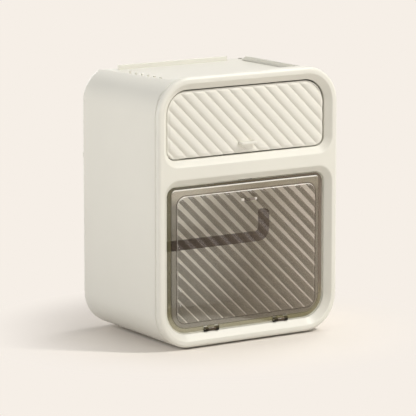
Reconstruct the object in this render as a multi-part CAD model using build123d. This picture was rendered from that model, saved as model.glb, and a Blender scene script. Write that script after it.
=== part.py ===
from build123d import *
import math
import os

os.makedirs("parts", exist_ok=True)

# Sizes are in millimetres, angles in degrees. X runs to the right, Y to the back and Z up, from under
# the box's centre.

# Overall size
WIDTH = 175.0
DEPTH = 120.0
HEIGHT = 220.0
CORNER_R = 30.0
FOOT_HEIGHT = 1.5

# Moulded shell: a tub, open at the front, that narrows towards its back
WALL = 3.0
DRAFT_ANGLE = 1.2
REAR_BEVEL = 3.5
REBATE = 1.0
DECK_DROP = 7.8
DECK_WALL = 2.6
DECK_SIDE_GAP = 18.5
DECK_LAND = 2.5

# Front frame: a flange, a shadow groove behind it and a spigot inside the shell
FLANGE_DEPTH = 3.5
GROOVE_WIDTH = 2.0
SPIGOT_DEPTH = 4.0
FLANGE_BEVEL = 1.7
BEZEL = 5.2
REVEAL_INSET = 5.2
REVEAL_DEPTH = 4.7
SNUG = 0.1

# Drawer opening and the crossbar under it, at the inner edge of their sloping reveals
DRAWER_OPENING = 56.0
CROSSBAR_HEIGHT = 20.6
CROSSBAR_CORNER_R = 8.5

# Gap round the drawer front and the door, and the reeded field that they share. A shift moves a valley from
# the panel's centre, across the reeds.
PANEL_GAP = 1.0
RIB_PITCH = 8.1
RIB_HEIGHT = 1.4
RIB_SLANT = 44.3
DRAWER_RIB_SHIFT = -1.9
DOOR_RIB_SHIFT = -3.9

# Finger tabs of the drawer and the door
PULL_WIDTH = 16.5
PULL_THICK = 2.2
PULL_TIP_R = 2.0
PULL_SINK = 0.1
DRAWER_PULL_RISE = 9.0
DOOR_PULL_DROP = 16.0

# Drawer
DRAWER_SINK = 4.3
DRAWER_PANEL = 2.3
DRAWER_RUN = 0.3
TRAY_SIDE_GAP = 4.0
TRAY_REAR_GAP = 5.0
TRAY_TOP_GAP = 10.0
TRAY_WALL = 2.0
TRAY_CORNER_R = 6.0
TRAY_BEVEL = 3.0
RIDGE_PROUD = 2.5
RIDGE_HEIGHT = 3.0
RIDGE_ABOVE_TRAY = 11.4
RIDGE_LENGTH = 70.0

# Shelf, rails and the stop that the drawer meets when it is pulled right out
SHELF_DROP = 3.1
SHELF_THICK = 3.0
LEDGE = 2.5
RAIL_WIDTH = 5.0
RAIL_FOOT = 15.0
RAIL_ABOVE_RIDGE = 3.0
RAIL_REAR_GAP = 7.5
STOP_WIDTH = 36.0
STOP_THICK = 3.0
STOP_FRONT_GAP = 4.5
STOP_REAR_GAP = 7.0
STOP_CLEAR = 0.7

# Top tray: a thin insert with a back rail, a right rail and a row of small posts on the left
DECK_PLATE = 2.0
DECK_RAIL_RISE = 3.8
DECK_RAIL_THICK = 1.8
BACK_RAIL_END_GAP = 15.0
BACK_RAIL_REAR_GAP = 9.0
SIDE_RAIL_INSET = 3.0
SIDE_RAIL_REAR_GAP = 12.0
SIDE_RAIL_SLOPE = 6.0
POST_COUNT = 6
POST_PITCH = 9.0
POST_SIZE = 1.8
POST_RISE = 3.6
POST_MID_Y = -7.5

# Smoked door: a flange, a raised border and a reeded field, tipping on two pins at its foot
DOOR_SETBACK = 1.0
DOOR_WALL = 2.0
BORDER_INSET = 4.0
BORDER_RISE = 1.6
FIELD_INSET = 8.4
FIELD_RISE = 1.8
FIELD_CORNER_R = 8.0
DOOR_BEVEL = 0.6
AXIS_ABOVE_SILL = 2.1
HINGE_X = 34.0
KNUCKLE_R = 1.8
KNUCKLE_WIDTH = 7.0
EAR_WIDTH = 2.9
PIN_R = 0.8
PIN_PLAY = 0.06
PIN_SNUG = 0.02
HINGE_SIDE_PLAY = 0.25
HINGE_NOTCH_PLAY = 0.4
HINGE_NOTCH_RISE = 3.9
BRACKET_SINK = 3.5
BRACKET_DEPTH = 4.3
BRACKET_CAP = 2.2

# Catch under the crossbar
CATCH_WIDTH = 13.0
CATCH_LEAF = 1.4
CATCH_HEIGHT = 8.0
CATCH_NUB = 0.6
CATCH_REACH = 3.2

# Roll arm and its socket on the left wall
ARM_SIZE = 8.0
ARM_EDGE_BEVEL = 1.3
ARM_BELOW_BAR = 60.0
ARM_END_GAP = 21.1
ARM_UPTURN = 22.5
ARM_BEND_R = 7.0
ARM_TIP_BEVEL = 1.0
SPIGOT_SIZE = 5.6
SPIGOT_LENGTH = 10.0
SPIGOT_PLAY = 0.1
ARM_SHOULDER_GAP = 0.3
SOCKET_PLATE_R = 13.0
SOCKET_PLATE = 3.0
SOCKET_COLLAR_R = 7.0
SCREW_SPREAD = 9.5

# Small screws and feet
SCREW_R = 1.2
SCREW_HEAD_R = 2.4
SCREW_HEAD = 1.4
SCREW_BITE = 1.6
DRAWER_SCREW_X = 40.0
FOOT_SIZE = 13.0
FOOT_BEVEL = 3.0
FOOT_SIDE_GAP = 39.5
FOOT_END_GAP = 20.0
FOOT_REACH = 12.0

# Planes that follow from the sizes above
FRONT_Y = -DEPTH / 2
REAR_Y = DEPTH / 2
FLANGE_BACK_Y = FRONT_Y + FLANGE_DEPTH
SHELL_FRONT_Y = FLANGE_BACK_Y + GROOVE_WIDTH
SPIGOT_BACK_Y = SHELL_FRONT_Y + SPIGOT_DEPTH
REVEAL_Y = FRONT_Y + REVEAL_DEPTH
CAVITY_REAR_Y = REAR_Y - WALL
OPENING_HALF = WIDTH / 2 - BEZEL - REVEAL_INSET
OPENING_LOW = FOOT_HEIGHT + BEZEL + REVEAL_INSET
OPENING_HIGH = HEIGHT - BEZEL - REVEAL_INSET
OPENING_CORNER_R = CORNER_R - BEZEL - REVEAL_INSET
CROSSBAR_HIGH = OPENING_HIGH - DRAWER_OPENING
CROSSBAR_LOW = CROSSBAR_HIGH - CROSSBAR_HEIGHT
SHELF_TOP = CROSSBAR_HIGH - SHELF_DROP
DECK_Z = HEIGHT - DECK_DROP
DECK_HALF = WIDTH / 2 - DECK_SIDE_GAP
FOOT_X = WIDTH / 2 - FOOT_SIDE_GAP


def facing(y):
    """Plane across the box at one depth, seen from the front."""
    return Plane((0, y, 0), x_dir=(1, 0, 0), z_dir=(0, -1, 0))


def outline(half_width, bottom, top, r_bottom, r_top):
    """Rounded outline as it is seen from the front."""
    sketch = Pos(0, (bottom + top) / 2) * Rectangle(2 * half_width, top - bottom)
    sketch = fillet(sketch.vertices().group_by(Axis.Y)[0], r_bottom)
    return fillet(sketch.vertices().group_by(Axis.Y)[-1], r_top)


def slab(sketch, y_front, y_back):
    """An outline as thick as the space between two depths."""
    return extrude(facing(y_back) * sketch, amount=y_back - y_front)


def ruled(sketch_front, y_front, sketch_back, y_back):
    """Straight walls from one outline to another."""
    ends = [(facing(y_front) * sketch_front).face(), (facing(y_back) * sketch_back).face()]
    return loft(ends, ruled=True)


def block(x_low, x_high, y_low, y_high, z_low, z_high):
    """A plain block between its limits."""
    size = Box(x_high - x_low, y_high - y_low, z_high - z_low)
    return Pos((x_low + x_high) / 2, (y_low + y_high) / 2, (z_low + z_high) / 2) * size


def rod_x(x_low, x_high, y, z, radius):
    """A round rod along X."""
    return Pos((x_low + x_high) / 2, y, z) * Rot(0, 90, 0) * Cylinder(radius, x_high - x_low)


def shell_outline(inset):
    """Outline of the box as it is at the front, drawn in by an inset."""
    radius = CORNER_R - inset
    return outline(WIDTH / 2 - inset, FOOT_HEIGHT + inset, HEIGHT - inset, radius, radius)


def drafted(inset, y_back):
    """The drafted volume inside the shell's outer face, by an inset, that narrows towards the back."""
    prism = extrude(shell_outline(inset), amount=y_back - SHELL_FRONT_Y, taper=DRAFT_ANGLE)
    return Plane((0, SHELL_FRONT_Y, 0), x_dir=(-1, 0, 0), z_dir=(0, 1, 0)) * prism


def opening_outline(bottom, top, r_bottom, r_top, grow):
    """One opening of the front frame, grown on every side."""
    return outline(OPENING_HALF + grow, bottom - grow, top + grow, r_bottom + grow, r_top + grow)


def upper_outline(grow):
    """Outline of the drawer's opening."""
    return opening_outline(CROSSBAR_HIGH, OPENING_HIGH, CROSSBAR_CORNER_R, OPENING_CORNER_R, grow)


def lower_outline(grow):
    """Outline of the door's opening."""
    return opening_outline(OPENING_LOW, CROSSBAR_LOW, OPENING_CORNER_R, CROSSBAR_CORNER_R, grow)


def opening_cut(opening):
    """An opening with its sloping reveal, cut right through the frame."""
    straight = slab(opening(0), REVEAL_Y, SPIGOT_BACK_Y)
    return straight + ruled(opening(REVEAL_INSET), FRONT_Y, opening(0), REVEAL_Y)


def reeds(z_centre, shift, y_valley):
    """Convex reeds side by side, running down to the right."""
    right = math.sin(math.radians(RIB_SLANT))
    up = math.cos(math.radians(RIB_SLANT))
    centre = (shift * right, y_valley, z_centre + shift * up)
    across = Plane(centre, x_dir=(right, 0, up), z_dir=(up, 0, -right))
    count = 2 * (int(WIDTH / RIB_PITCH) + 1)
    start = -count * RIB_PITCH / 2
    arcs = []
    for rib in range(count):
        x = start + rib * RIB_PITCH
        arcs.append(ThreePointArc((x, 0), (x + RIB_PITCH / 2, RIB_HEIGHT), (x + RIB_PITCH, 0)))
    back = Polyline((-start, 0), (-start, -RIB_PITCH), (start, -RIB_PITCH), (start, 0))
    profile = make_face(Curve() + arcs + back)
    return extrude(across * profile, amount=WIDTH, both=True)


def pull_tab(z, y_root):
    """A thin finger tab that stands out of a panel."""
    tab = block(-PULL_WIDTH / 2, PULL_WIDTH / 2, FRONT_Y + PULL_SINK, y_root,
                z - PULL_THICK / 2, z + PULL_THICK / 2)
    tips = tab.edges().filter_by(Axis.Z).group_by(Axis.Y)[0]
    return fillet(tips, PULL_TIP_R)


def screw(seat, along, grip):
    """A pan-headed screw whose head sits at a point and whose shank runs on from it."""
    length = grip + SCREW_BITE
    head = Pos(0, 0, -SCREW_HEAD / 2) * Cylinder(SCREW_HEAD_R, SCREW_HEAD)
    shank = Pos(0, 0, length / 2) * Cylinder(SCREW_R, length)
    return Plane(seat, z_dir=along) * (head + shank)


def screw_hole(seat, along, grip):
    """The hole that a screw's shank fits, a little deeper than its tip."""
    length = grip + SCREW_BITE + SNUG
    return Plane(seat, z_dir=along) * Pos(0, 0, length / 2) * Cylinder(SCREW_R + PIN_SNUG, length)


def cavity_half(y):
    """Half of the shell's inner width at one depth."""
    return WIDTH / 2 - WALL - (y - SHELL_FRONT_Y) * math.tan(math.radians(DRAFT_ANGLE))


def both_sides(x):
    """The same distance to the left and to the right."""
    return {"left": -x, "right": x}


# Places of the drawer's parts
TRAY_HALF = OPENING_HALF - TRAY_SIDE_GAP
TRAY_LOW = CROSSBAR_HIGH + PANEL_GAP
TRAY_HIGH = OPENING_HIGH - TRAY_TOP_GAP
DRAWER_CREST_Y = FRONT_Y + DRAWER_SINK
DRAWER_VALLEY_Y = DRAWER_CREST_Y + RIB_HEIGHT
TRAY_FRONT_Y = DRAWER_VALLEY_Y + DRAWER_PANEL
TRAY_REAR_Y = CAVITY_REAR_Y - TRAY_REAR_GAP
RIDGE_LOW = TRAY_LOW + RIDGE_ABOVE_TRAY
RIDGE_HIGH = RIDGE_LOW + RIDGE_HEIGHT
RAIL_INNER = TRAY_HALF + DRAWER_RUN
STOP_FRONT_Y = SPIGOT_BACK_Y + STOP_FRONT_GAP
STOP_BACK_Y = STOP_FRONT_Y + STOP_THICK
SEAT_Y = TRAY_FRONT_Y + TRAY_WALL
SEAT_Z = (TRAY_LOW + TRAY_HIGH) / 2
DRAWER_SCREW_SEATS = [(x, SEAT_Y, SEAT_Z) for x in both_sides(DRAWER_SCREW_X).values()]
TO_FRONT = (0, -1, 0)

# Places of the door's and the hinge's parts
AXIS_Y = REVEAL_Y
DOOR_FRONT_Y = REVEAL_Y + DOOR_SETBACK
BORDER_Y = DOOR_FRONT_Y - BORDER_RISE
DOOR_CREST_Y = BORDER_Y - FIELD_RISE
DOOR_VALLEY_Y = DOOR_CREST_Y + RIB_HEIGHT
DOOR_BACK_Y = DOOR_FRONT_Y + DOOR_WALL
AXIS_Z = OPENING_LOW + AXIS_ABOVE_SILL
EAR_INNER = KNUCKLE_WIDTH / 2 + HINGE_SIDE_PLAY
BRACKET_HALF = EAR_INNER + EAR_WIDTH
BRACKET_LOW = OPENING_LOW - BRACKET_SINK
BRACKET_FRONT_Y = AXIS_Y - BRACKET_DEPTH / 2
BRACKET_BACK_Y = AXIS_Y + BRACKET_DEPTH / 2

# Places of the roll arm's parts
WALL_X = -cavity_half(0)
PLATE_X = WALL_X + SOCKET_PLATE
COLLAR_X = PLATE_X + SPIGOT_LENGTH
SHOULDER_X = COLLAR_X + ARM_SHOULDER_GAP
ARM_END_X = OPENING_HALF - ARM_END_GAP
ARM_Z = CROSSBAR_LOW - ARM_BELOW_BAR
SOCKET_SCREW_SEATS = [(PLATE_X, 0, ARM_Z - SCREW_SPREAD), (PLATE_X, 0, ARM_Z + SCREW_SPREAD)]
TO_LEFT = (-1, 0, 0)

# Places of the top tray's parts
DECK_FRONT_Y = SPIGOT_BACK_Y + DECK_LAND
DECK_FLOOR_Z = DECK_Z + DECK_PLATE
DECK_RAIL_TOP = DECK_FLOOR_Z + DECK_RAIL_RISE
SIDE_RAIL_X = DECK_HALF - SIDE_RAIL_INSET


def shell_body():
    """Outer volume of the shell, with its rear edges bevelled."""
    solid = drafted(0, REAR_Y)
    return chamfer(solid.faces().sort_by(Axis.Y)[-1].edges(), REAR_BEVEL)


def shell_cavity(clearance):
    """Inner volume of the shell, under a flat ceiling."""
    ceiling = DECK_Z - DECK_WALL - clearance
    room = block(-WIDTH, WIDTH, -DEPTH, DEPTH, -HEIGHT, ceiling)
    return drafted(WALL + clearance, CAVITY_REAR_Y - clearance) & room


def body_shell():
    """The drafted tub, with a flat deck cut into its top and two ledges that carry the shelf."""
    outer = shell_body()
    seat = slab(shell_outline(WALL - REBATE), SHELL_FRONT_Y, SPIGOT_BACK_Y)
    deck = block(-DECK_HALF, DECK_HALF, DECK_FRONT_Y, DEPTH, DECK_Z, HEIGHT)
    solid = outer - shell_cavity(0) - seat - deck
    ledge_top = SHELF_TOP - SHELF_THICK
    ledge_x = cavity_half(CAVITY_REAR_Y) - LEDGE
    for low, high in ((-WIDTH, -ledge_x), (ledge_x, WIDTH)):
        ledge = block(low, high, SPIGOT_BACK_Y, CAVITY_REAR_Y, ledge_top - LEDGE, ledge_top)
        solid = solid + (ledge & outer)
    for seat_point in SOCKET_SCREW_SEATS:
        solid = solid - screw_hole(seat_point, TO_LEFT, SOCKET_PLATE)
    return solid


def front_frame():
    """The rounded bezel with its crossbar, two sloping openings and two hinge pockets."""
    flange = slab(shell_outline(0), FRONT_Y, FLANGE_BACK_Y)
    flange = chamfer(flange.faces().sort_by(Axis.Y)[0].edges(), FLANGE_BEVEL)
    spigot = slab(shell_outline(WALL - REBATE + SNUG), FLANGE_BACK_Y, SPIGOT_BACK_Y)
    solid = flange + spigot - opening_cut(upper_outline) - opening_cut(lower_outline)
    for x in both_sides(HINGE_X).values():
        solid = solid - block(x - BRACKET_HALF, x + BRACKET_HALF, BRACKET_FRONT_Y, BRACKET_BACK_Y,
                              BRACKET_LOW, AXIS_Z)
    return solid


def mid_shelf():
    """The floor of the drawer bay, with the rib that stops the drawer."""
    plate = block(-WIDTH, WIDTH, SPIGOT_BACK_Y, CAVITY_REAR_Y, SHELF_TOP - SHELF_THICK, SHELF_TOP)
    plate = plate & drafted(WALL + SNUG, CAVITY_REAR_Y)
    stop = block(-STOP_WIDTH / 2, STOP_WIDTH / 2, STOP_FRONT_Y, STOP_BACK_Y, SHELF_TOP, TRAY_LOW - STOP_CLEAR)
    return plate + stop


def drawer_rail(side):
    """A channel that carries one side of the drawer and holds its ridge down."""
    y_back = CAVITY_REAR_Y - RAIL_REAR_GAP
    cheek = block(RAIL_INNER, RAIL_INNER + RAIL_WIDTH, SPIGOT_BACK_Y, y_back,
                  SHELF_TOP, RIDGE_HIGH + DRAWER_RUN + RAIL_ABOVE_RIDGE)
    foot = block(RAIL_INNER - RAIL_FOOT, RAIL_INNER, SPIGOT_BACK_Y, y_back, SHELF_TOP, TRAY_LOW - DRAWER_RUN)
    groove = block(RAIL_INNER, TRAY_HALF + RIDGE_PROUD + DRAWER_RUN, SPIGOT_BACK_Y, y_back,
                   RIDGE_LOW - DRAWER_RUN, RIDGE_HIGH + DRAWER_RUN)
    rail = cheek + foot - groove
    return mirror(rail, Plane.YZ) if side == "left" else rail


def top_tray():
    """The insert on the top deck: a plate, two rails and a row of small posts."""
    half = DECK_HALF - SNUG
    y_front = DECK_FRONT_Y + SNUG
    tray = block(-half, half, y_front, REAR_Y, DECK_Z, DECK_FLOOR_Z) & shell_body()
    back_half = DECK_HALF - BACK_RAIL_END_GAP
    back_y = REAR_Y - BACK_RAIL_REAR_GAP
    tray = tray + block(-back_half, back_half, back_y, back_y + DECK_RAIL_THICK, DECK_FLOOR_Z, DECK_RAIL_TOP)
    side_end = REAR_Y - SIDE_RAIL_REAR_GAP
    side = Polygon((y_front, DECK_FLOOR_Z), (side_end, DECK_FLOOR_Z),
                   (side_end - SIDE_RAIL_SLOPE, DECK_RAIL_TOP), (y_front, DECK_RAIL_TOP), align=None)
    tray = tray + extrude(Plane.YZ.offset(SIDE_RAIL_X) * side, amount=DECK_RAIL_THICK)
    for post in range(POST_COUNT):
        y = POST_MID_Y + (post - (POST_COUNT - 1) / 2) * POST_PITCH
        tray = tray + block(-SIDE_RAIL_X - POST_SIZE / 2, -SIDE_RAIL_X + POST_SIZE / 2,
                            y - POST_SIZE / 2, y + POST_SIZE / 2, DECK_FLOOR_Z, DECK_FLOOR_Z + POST_RISE)
    return tray


def drawer_front():
    """The reeded front of the drawer, with its finger tab."""
    panel = slab(upper_outline(-PANEL_GAP), DRAWER_CREST_Y, TRAY_FRONT_Y)
    panel = panel & reeds((CROSSBAR_HIGH + OPENING_HIGH) / 2, DRAWER_RIB_SHIFT, DRAWER_VALLEY_Y)
    panel = panel + pull_tab(CROSSBAR_HIGH + DRAWER_PULL_RISE, DRAWER_VALLEY_Y)
    for seat in DRAWER_SCREW_SEATS:
        panel = panel - screw_hole(seat, TO_FRONT, TRAY_WALL)
    return panel


def tray_volume(inset, y_front, z_top):
    """The drawer tray's outer volume, or its hollow, with rounded rear corners and bevelled lower edges."""
    half = TRAY_HALF - inset
    solid = block(-half, half, y_front, TRAY_REAR_Y - inset, TRAY_LOW + inset, z_top)
    solid = fillet(solid.edges().filter_by(Axis.Z).group_by(Axis.Y)[-1], TRAY_CORNER_R - inset)
    lower = solid.faces().sort_by(Axis.Z)[0].edges().sort_by(Axis.Y)[1:]
    return chamfer(lower, TRAY_BEVEL)


def drawer_tray():
    """The open box behind the drawer's front, with its side ridges and stop tab."""
    tray = tray_volume(0, TRAY_FRONT_Y, TRAY_HIGH)
    tray = tray - tray_volume(TRAY_WALL, TRAY_FRONT_Y + TRAY_WALL, HEIGHT)
    ridge_back = TRAY_REAR_Y - TRAY_CORNER_R
    for low, high in ((-TRAY_HALF - RIDGE_PROUD, -TRAY_HALF), (TRAY_HALF, TRAY_HALF + RIDGE_PROUD)):
        tray = tray + block(low, high, ridge_back - RIDGE_LENGTH, ridge_back, RIDGE_LOW, RIDGE_HIGH)
    stop_y = TRAY_REAR_Y - STOP_REAR_GAP
    tray = tray + block(-STOP_WIDTH / 2, STOP_WIDTH / 2, stop_y - STOP_THICK, stop_y,
                        SHELF_TOP + STOP_CLEAR, TRAY_LOW + TRAY_WALL)
    for seat in DRAWER_SCREW_SEATS:
        tray = tray - screw_hole(seat, TO_FRONT, TRAY_WALL)
    return tray


def door_panel():
    """The smoked door: flange, raised border, reeded field, finger tab and two hinge knuckles."""
    flange = slab(lower_outline(-PANEL_GAP), DOOR_FRONT_Y, DOOR_BACK_Y)
    border = slab(lower_outline(-PANEL_GAP - BORDER_INSET), BORDER_Y, DOOR_FRONT_Y)
    border = chamfer(border.faces().sort_by(Axis.Y)[0].edges(), DOOR_BEVEL)
    inset = PANEL_GAP + FIELD_INSET
    field = outline(OPENING_HALF - inset, OPENING_LOW + inset, CROSSBAR_LOW - inset,
                    FIELD_CORNER_R, FIELD_CORNER_R)
    field = slab(field, DOOR_CREST_Y, DOOR_FRONT_Y)
    field = field & reeds((OPENING_LOW + CROSSBAR_LOW) / 2, DOOR_RIB_SHIFT, DOOR_VALLEY_Y)
    hollow = slab(lower_outline(-PANEL_GAP - BORDER_INSET - DOOR_WALL), BORDER_Y + DOOR_WALL, DOOR_BACK_Y)
    door = flange + border + field - hollow + pull_tab(CROSSBAR_LOW - DOOR_PULL_DROP, DOOR_VALLEY_Y)
    notch_top = OPENING_LOW + PANEL_GAP + HINGE_NOTCH_RISE
    for x in both_sides(HINGE_X).values():
        reach = BRACKET_HALF + HINGE_NOTCH_PLAY
        for low, high in ((x - reach, x - KNUCKLE_WIDTH / 2), (x + KNUCKLE_WIDTH / 2, x + reach)):
            door = door - block(low, high, DOOR_FRONT_Y, DOOR_BACK_Y, OPENING_LOW, notch_top)
        door = door + rod_x(x - KNUCKLE_WIDTH / 2, x + KNUCKLE_WIDTH / 2, AXIS_Y, AXIS_Z, KNUCKLE_R)
        door = door - rod_x(x - KNUCKLE_WIDTH / 2, x + KNUCKLE_WIDTH / 2, AXIS_Y, AXIS_Z, PIN_R + PIN_PLAY)
    return door


def hinge_bracket(x):
    """Two ears on a base that is sunk into the frame's sill."""
    bracket = block(x - BRACKET_HALF, x + BRACKET_HALF, BRACKET_FRONT_Y, BRACKET_BACK_Y,
                    BRACKET_LOW, BRACKET_LOW + BRACKET_CAP)
    for low, high in ((x - BRACKET_HALF, x - EAR_INNER), (x + EAR_INNER, x + BRACKET_HALF)):
        bracket = bracket + rod_x(low, high, AXIS_Y, AXIS_Z, KNUCKLE_R)
        bracket = bracket + block(low, high, AXIS_Y - KNUCKLE_R, AXIS_Y + KNUCKLE_R, BRACKET_LOW, AXIS_Z)
    return bracket - rod_x(x - BRACKET_HALF, x + BRACKET_HALF, AXIS_Y, AXIS_Z, PIN_R + PIN_SNUG)


def hinge_pin(x):
    """The pin through one hinge, as long as its bracket is wide."""
    return rod_x(x - BRACKET_HALF, x + BRACKET_HALF, AXIS_Y, AXIS_Z, PIN_R)


def door_catch():
    """A leaf behind the crossbar, with a tongue over the door's top edge."""
    half = CATCH_WIDTH / 2
    leaf_back = SPIGOT_BACK_Y + CATCH_LEAF
    low = CROSSBAR_LOW - CATCH_NUB
    leaf = block(-half, half, SPIGOT_BACK_Y, leaf_back, low, CROSSBAR_LOW + CATCH_HEIGHT)
    return leaf + block(-half, half, SPIGOT_BACK_Y - CATCH_REACH, leaf_back, low, CROSSBAR_LOW)


def arm_socket():
    """The round plate and collar on the left wall that the roll arm plugs into."""
    plate = rod_x(-WIDTH, PLATE_X, 0, ARM_Z, SOCKET_PLATE_R) & shell_cavity(0)
    collar = rod_x(PLATE_X, COLLAR_X, 0, ARM_Z, SOCKET_COLLAR_R)
    half = SPIGOT_SIZE / 2 + SPIGOT_PLAY
    socket = plate + collar - block(PLATE_X, COLLAR_X, -half, half, ARM_Z - half, ARM_Z + half)
    for seat in SOCKET_SCREW_SEATS:
        socket = socket - screw_hole(seat, TO_LEFT, SOCKET_PLATE)
    return socket


def roll_arm():
    """The square bar that carries the roll, turned up at its free end."""
    root = (SHOULDER_X, 0, ARM_Z)
    path = FilletPolyline(root, (ARM_END_X, 0, ARM_Z), (ARM_END_X, 0, ARM_Z + ARM_UPTURN), radius=ARM_BEND_R)
    section = Rectangle(ARM_SIZE, ARM_SIZE)
    section = chamfer(section.vertices(), ARM_EDGE_BEVEL)
    bar = sweep(Plane(root, z_dir=(1, 0, 0)) * section, path=path)
    bar = chamfer(bar.faces().sort_by(Axis.Z)[-1].edges(), ARM_TIP_BEVEL)
    half = SPIGOT_SIZE / 2
    return bar + block(SHOULDER_X - SPIGOT_LENGTH, SHOULDER_X, -half, half, ARM_Z - half, ARM_Z + half)


def foot(x, y):
    """A soft square foot with bevelled corners that reaches from the floor to the shell."""
    pad = Pos(x, y, FOOT_REACH / 2) * Box(FOOT_SIZE, FOOT_SIZE, FOOT_REACH)
    pad = chamfer(pad.edges().filter_by(Axis.Z), FOOT_BEVEL)
    return pad - drafted(0, REAR_Y)


parts = {
    "body_shell": body_shell(),
    "front_frame": front_frame(),
    "mid_shelf": mid_shelf(),
    "top_tray": top_tray(),
    "drawer_front": drawer_front(),
    "drawer_tray": drawer_tray(),
    "drawer_screws": Compound([screw(seat, TO_FRONT, TRAY_WALL) for seat in DRAWER_SCREW_SEATS]),
    "door_panel": door_panel(),
    "door_catch": door_catch(),
    "arm_socket": arm_socket(),
    "socket_screws": Compound([screw(seat, TO_LEFT, SOCKET_PLATE) for seat in SOCKET_SCREW_SEATS]),
    "roll_arm": roll_arm(),
}
for side, x in both_sides(HINGE_X).items():
    parts["drawer_rail_" + side] = drawer_rail(side)
    parts["hinge_bracket_" + side] = hinge_bracket(x)
    parts["hinge_pin_" + side] = hinge_pin(x)
for side, x in both_sides(FOOT_X).items():
    parts["foot_front_" + side] = foot(x, SHELL_FRONT_Y + FOOT_END_GAP)
    parts["foot_rear_" + side] = foot(x, REAR_Y - FOOT_END_GAP)

for name, solid in parts.items():
    export_step(solid, "parts/" + name + ".step")
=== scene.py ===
"""Dresses an ivory bathroom roll box: a reeded drawer above, a smoked flip-down door below."""

import math
from collections import namedtuple

import bmesh
import bpy
from bpy.props import FloatProperty, FloatVectorProperty, IntProperty, PointerProperty
from bpy.types import Operator, Panel, PropertyGroup
from mathutils import Matrix, Vector


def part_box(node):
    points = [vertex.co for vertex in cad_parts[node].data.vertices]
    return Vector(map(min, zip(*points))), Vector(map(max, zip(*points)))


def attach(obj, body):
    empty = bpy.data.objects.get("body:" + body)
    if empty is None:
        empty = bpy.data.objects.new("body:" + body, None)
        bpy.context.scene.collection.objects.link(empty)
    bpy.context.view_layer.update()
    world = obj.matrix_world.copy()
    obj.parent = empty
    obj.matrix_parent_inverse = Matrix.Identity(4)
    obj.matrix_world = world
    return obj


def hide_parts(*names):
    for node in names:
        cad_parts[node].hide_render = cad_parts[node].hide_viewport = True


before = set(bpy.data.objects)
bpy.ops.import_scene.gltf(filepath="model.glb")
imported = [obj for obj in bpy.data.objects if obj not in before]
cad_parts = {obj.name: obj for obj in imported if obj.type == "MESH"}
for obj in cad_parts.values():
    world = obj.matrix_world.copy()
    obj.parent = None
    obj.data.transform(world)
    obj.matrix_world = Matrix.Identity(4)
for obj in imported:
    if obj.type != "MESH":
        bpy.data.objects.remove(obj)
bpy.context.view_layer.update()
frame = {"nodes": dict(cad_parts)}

bl_info = {
    "name": "Bathroom roll box",
    "version": (1, 0, 0),
    "blender": (4, 5, 0),
    "location": "View3D > Sidebar > Roll box",
    "description": "Builds the looks of an ivory roll box with a drawer and a smoked door",
    "category": "Object",
}

MM = 0.001
CORNER_STEPS = 16
EDGE_STEPS = 4
FINE_STEPS = 6
ROUND_STEPS = 24
SHARP = math.radians(32.0)
STRAIGHT = 1e-4
TINY = 1e-6


def corners_of(node):
    """Lowest and highest corner of a CAD node."""
    low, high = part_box(node)
    return Vector(low), Vector(high)


SHELL_LOW, SHELL_HIGH = corners_of("body_shell")
FRAME_LOW, FRAME_HIGH = corners_of("front_frame")
DECK_LOW, DECK_HIGH = corners_of("top_tray")
DRAWER_LOW, DRAWER_HIGH = corners_of("drawer_front")
DOOR_LOW, DOOR_HIGH = corners_of("door_panel")
ARM_LOW, ARM_HIGH = corners_of("roll_arm")
SHELF_LOW = corners_of("mid_shelf")[0]


# Settings

def length(name, metres, description):
    """A size in metres."""
    return FloatProperty(name=name, description=description, default=metres, precision=5,
                         subtype="DISTANCE", unit="LENGTH")


def angle(name, degrees, description):
    """An angle."""
    return FloatProperty(name=name, description=description, default=math.radians(degrees),
                         subtype="ANGLE", unit="ROTATION")


def share(name, value, description):
    """A share between nothing and all."""
    return FloatProperty(name=name, description=description, default=value, min=0.0, max=1.0, subtype="FACTOR")


def level(name, value, description):
    """A plain strength."""
    return FloatProperty(name=name, description=description, default=value, min=0.0)


def tint(name, colour, description):
    """A colour."""
    return FloatVectorProperty(name=name, description=description, default=colour, size=3, min=0.0, max=1.0,
                               subtype="COLOR")


def pointer(kind, name, description):
    """A group of settings."""
    return PointerProperty(type=kind, name=name, description=description)


class FrameSizes(PropertyGroup):
    """Front frame and its two openings."""
    corner: length("Corner", 30.0 * MM, "Radius of the box's four corners")
    bezel: length("Bezel", 5.2 * MM, "Width of the flat rim round the openings")
    reveal: length("Reveal", 5.2 * MM, "How far an opening narrows behind the rim")
    reveal_depth: length("Reveal depth", 4.7 * MM, "How far back the sloping edge of an opening runs")
    flange: length("Flange", 5.0 * MM, "Thickness of the frame's rim")
    groove: length("Groove", 2.1 * MM, "Depth of the parting groove behind the rim")
    inner_corner: length("Inner corner", 8.5 * MM, "Radius of an opening's corners at the crossbar")
    rim_round: length("Rim rounding", 2.8 * MM, "Rounding of the frame's outer edge")
    reveal_round: length("Reveal rounding", 1.8 * MM, "Rounding where the rim turns into an opening")
    gap: length("Panel gap", 1.0 * MM, "Gap round the drawer front and the door")


class ShellSizes(PropertyGroup):
    """Body shell and the trough in its top."""
    wall: length("Wall", 3.0 * MM, "Thickness of the shell's walls")
    seat: length("Seat", 2.0 * MM, "Depth of the seat that takes the front frame")
    draft: angle("Draft", 1.2, "How much the walls lean in towards the back")
    rear_round: length("Rear rounding", 6.0 * MM, "Rounding of the rear edge")
    lip_round: length("Lip rounding", 1.5 * MM, "Rounding of the shell's front lip")
    deck_wall: length("Deck", 2.6 * MM, "Thickness of the trough's floor")
    deck_land: length("Deck land", 2.5 * MM, "Wall in front of the trough")
    deck_side: length("Deck side", 0.1 * MM, "Play beside the tray that lies in the trough")
    deck_corner: length("Deck corner", 1.5 * MM, "Radius of the trough's front corners")
    ledge: length("Ledge", 2.5 * MM, "Width of the ledges under the shelf")


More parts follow.
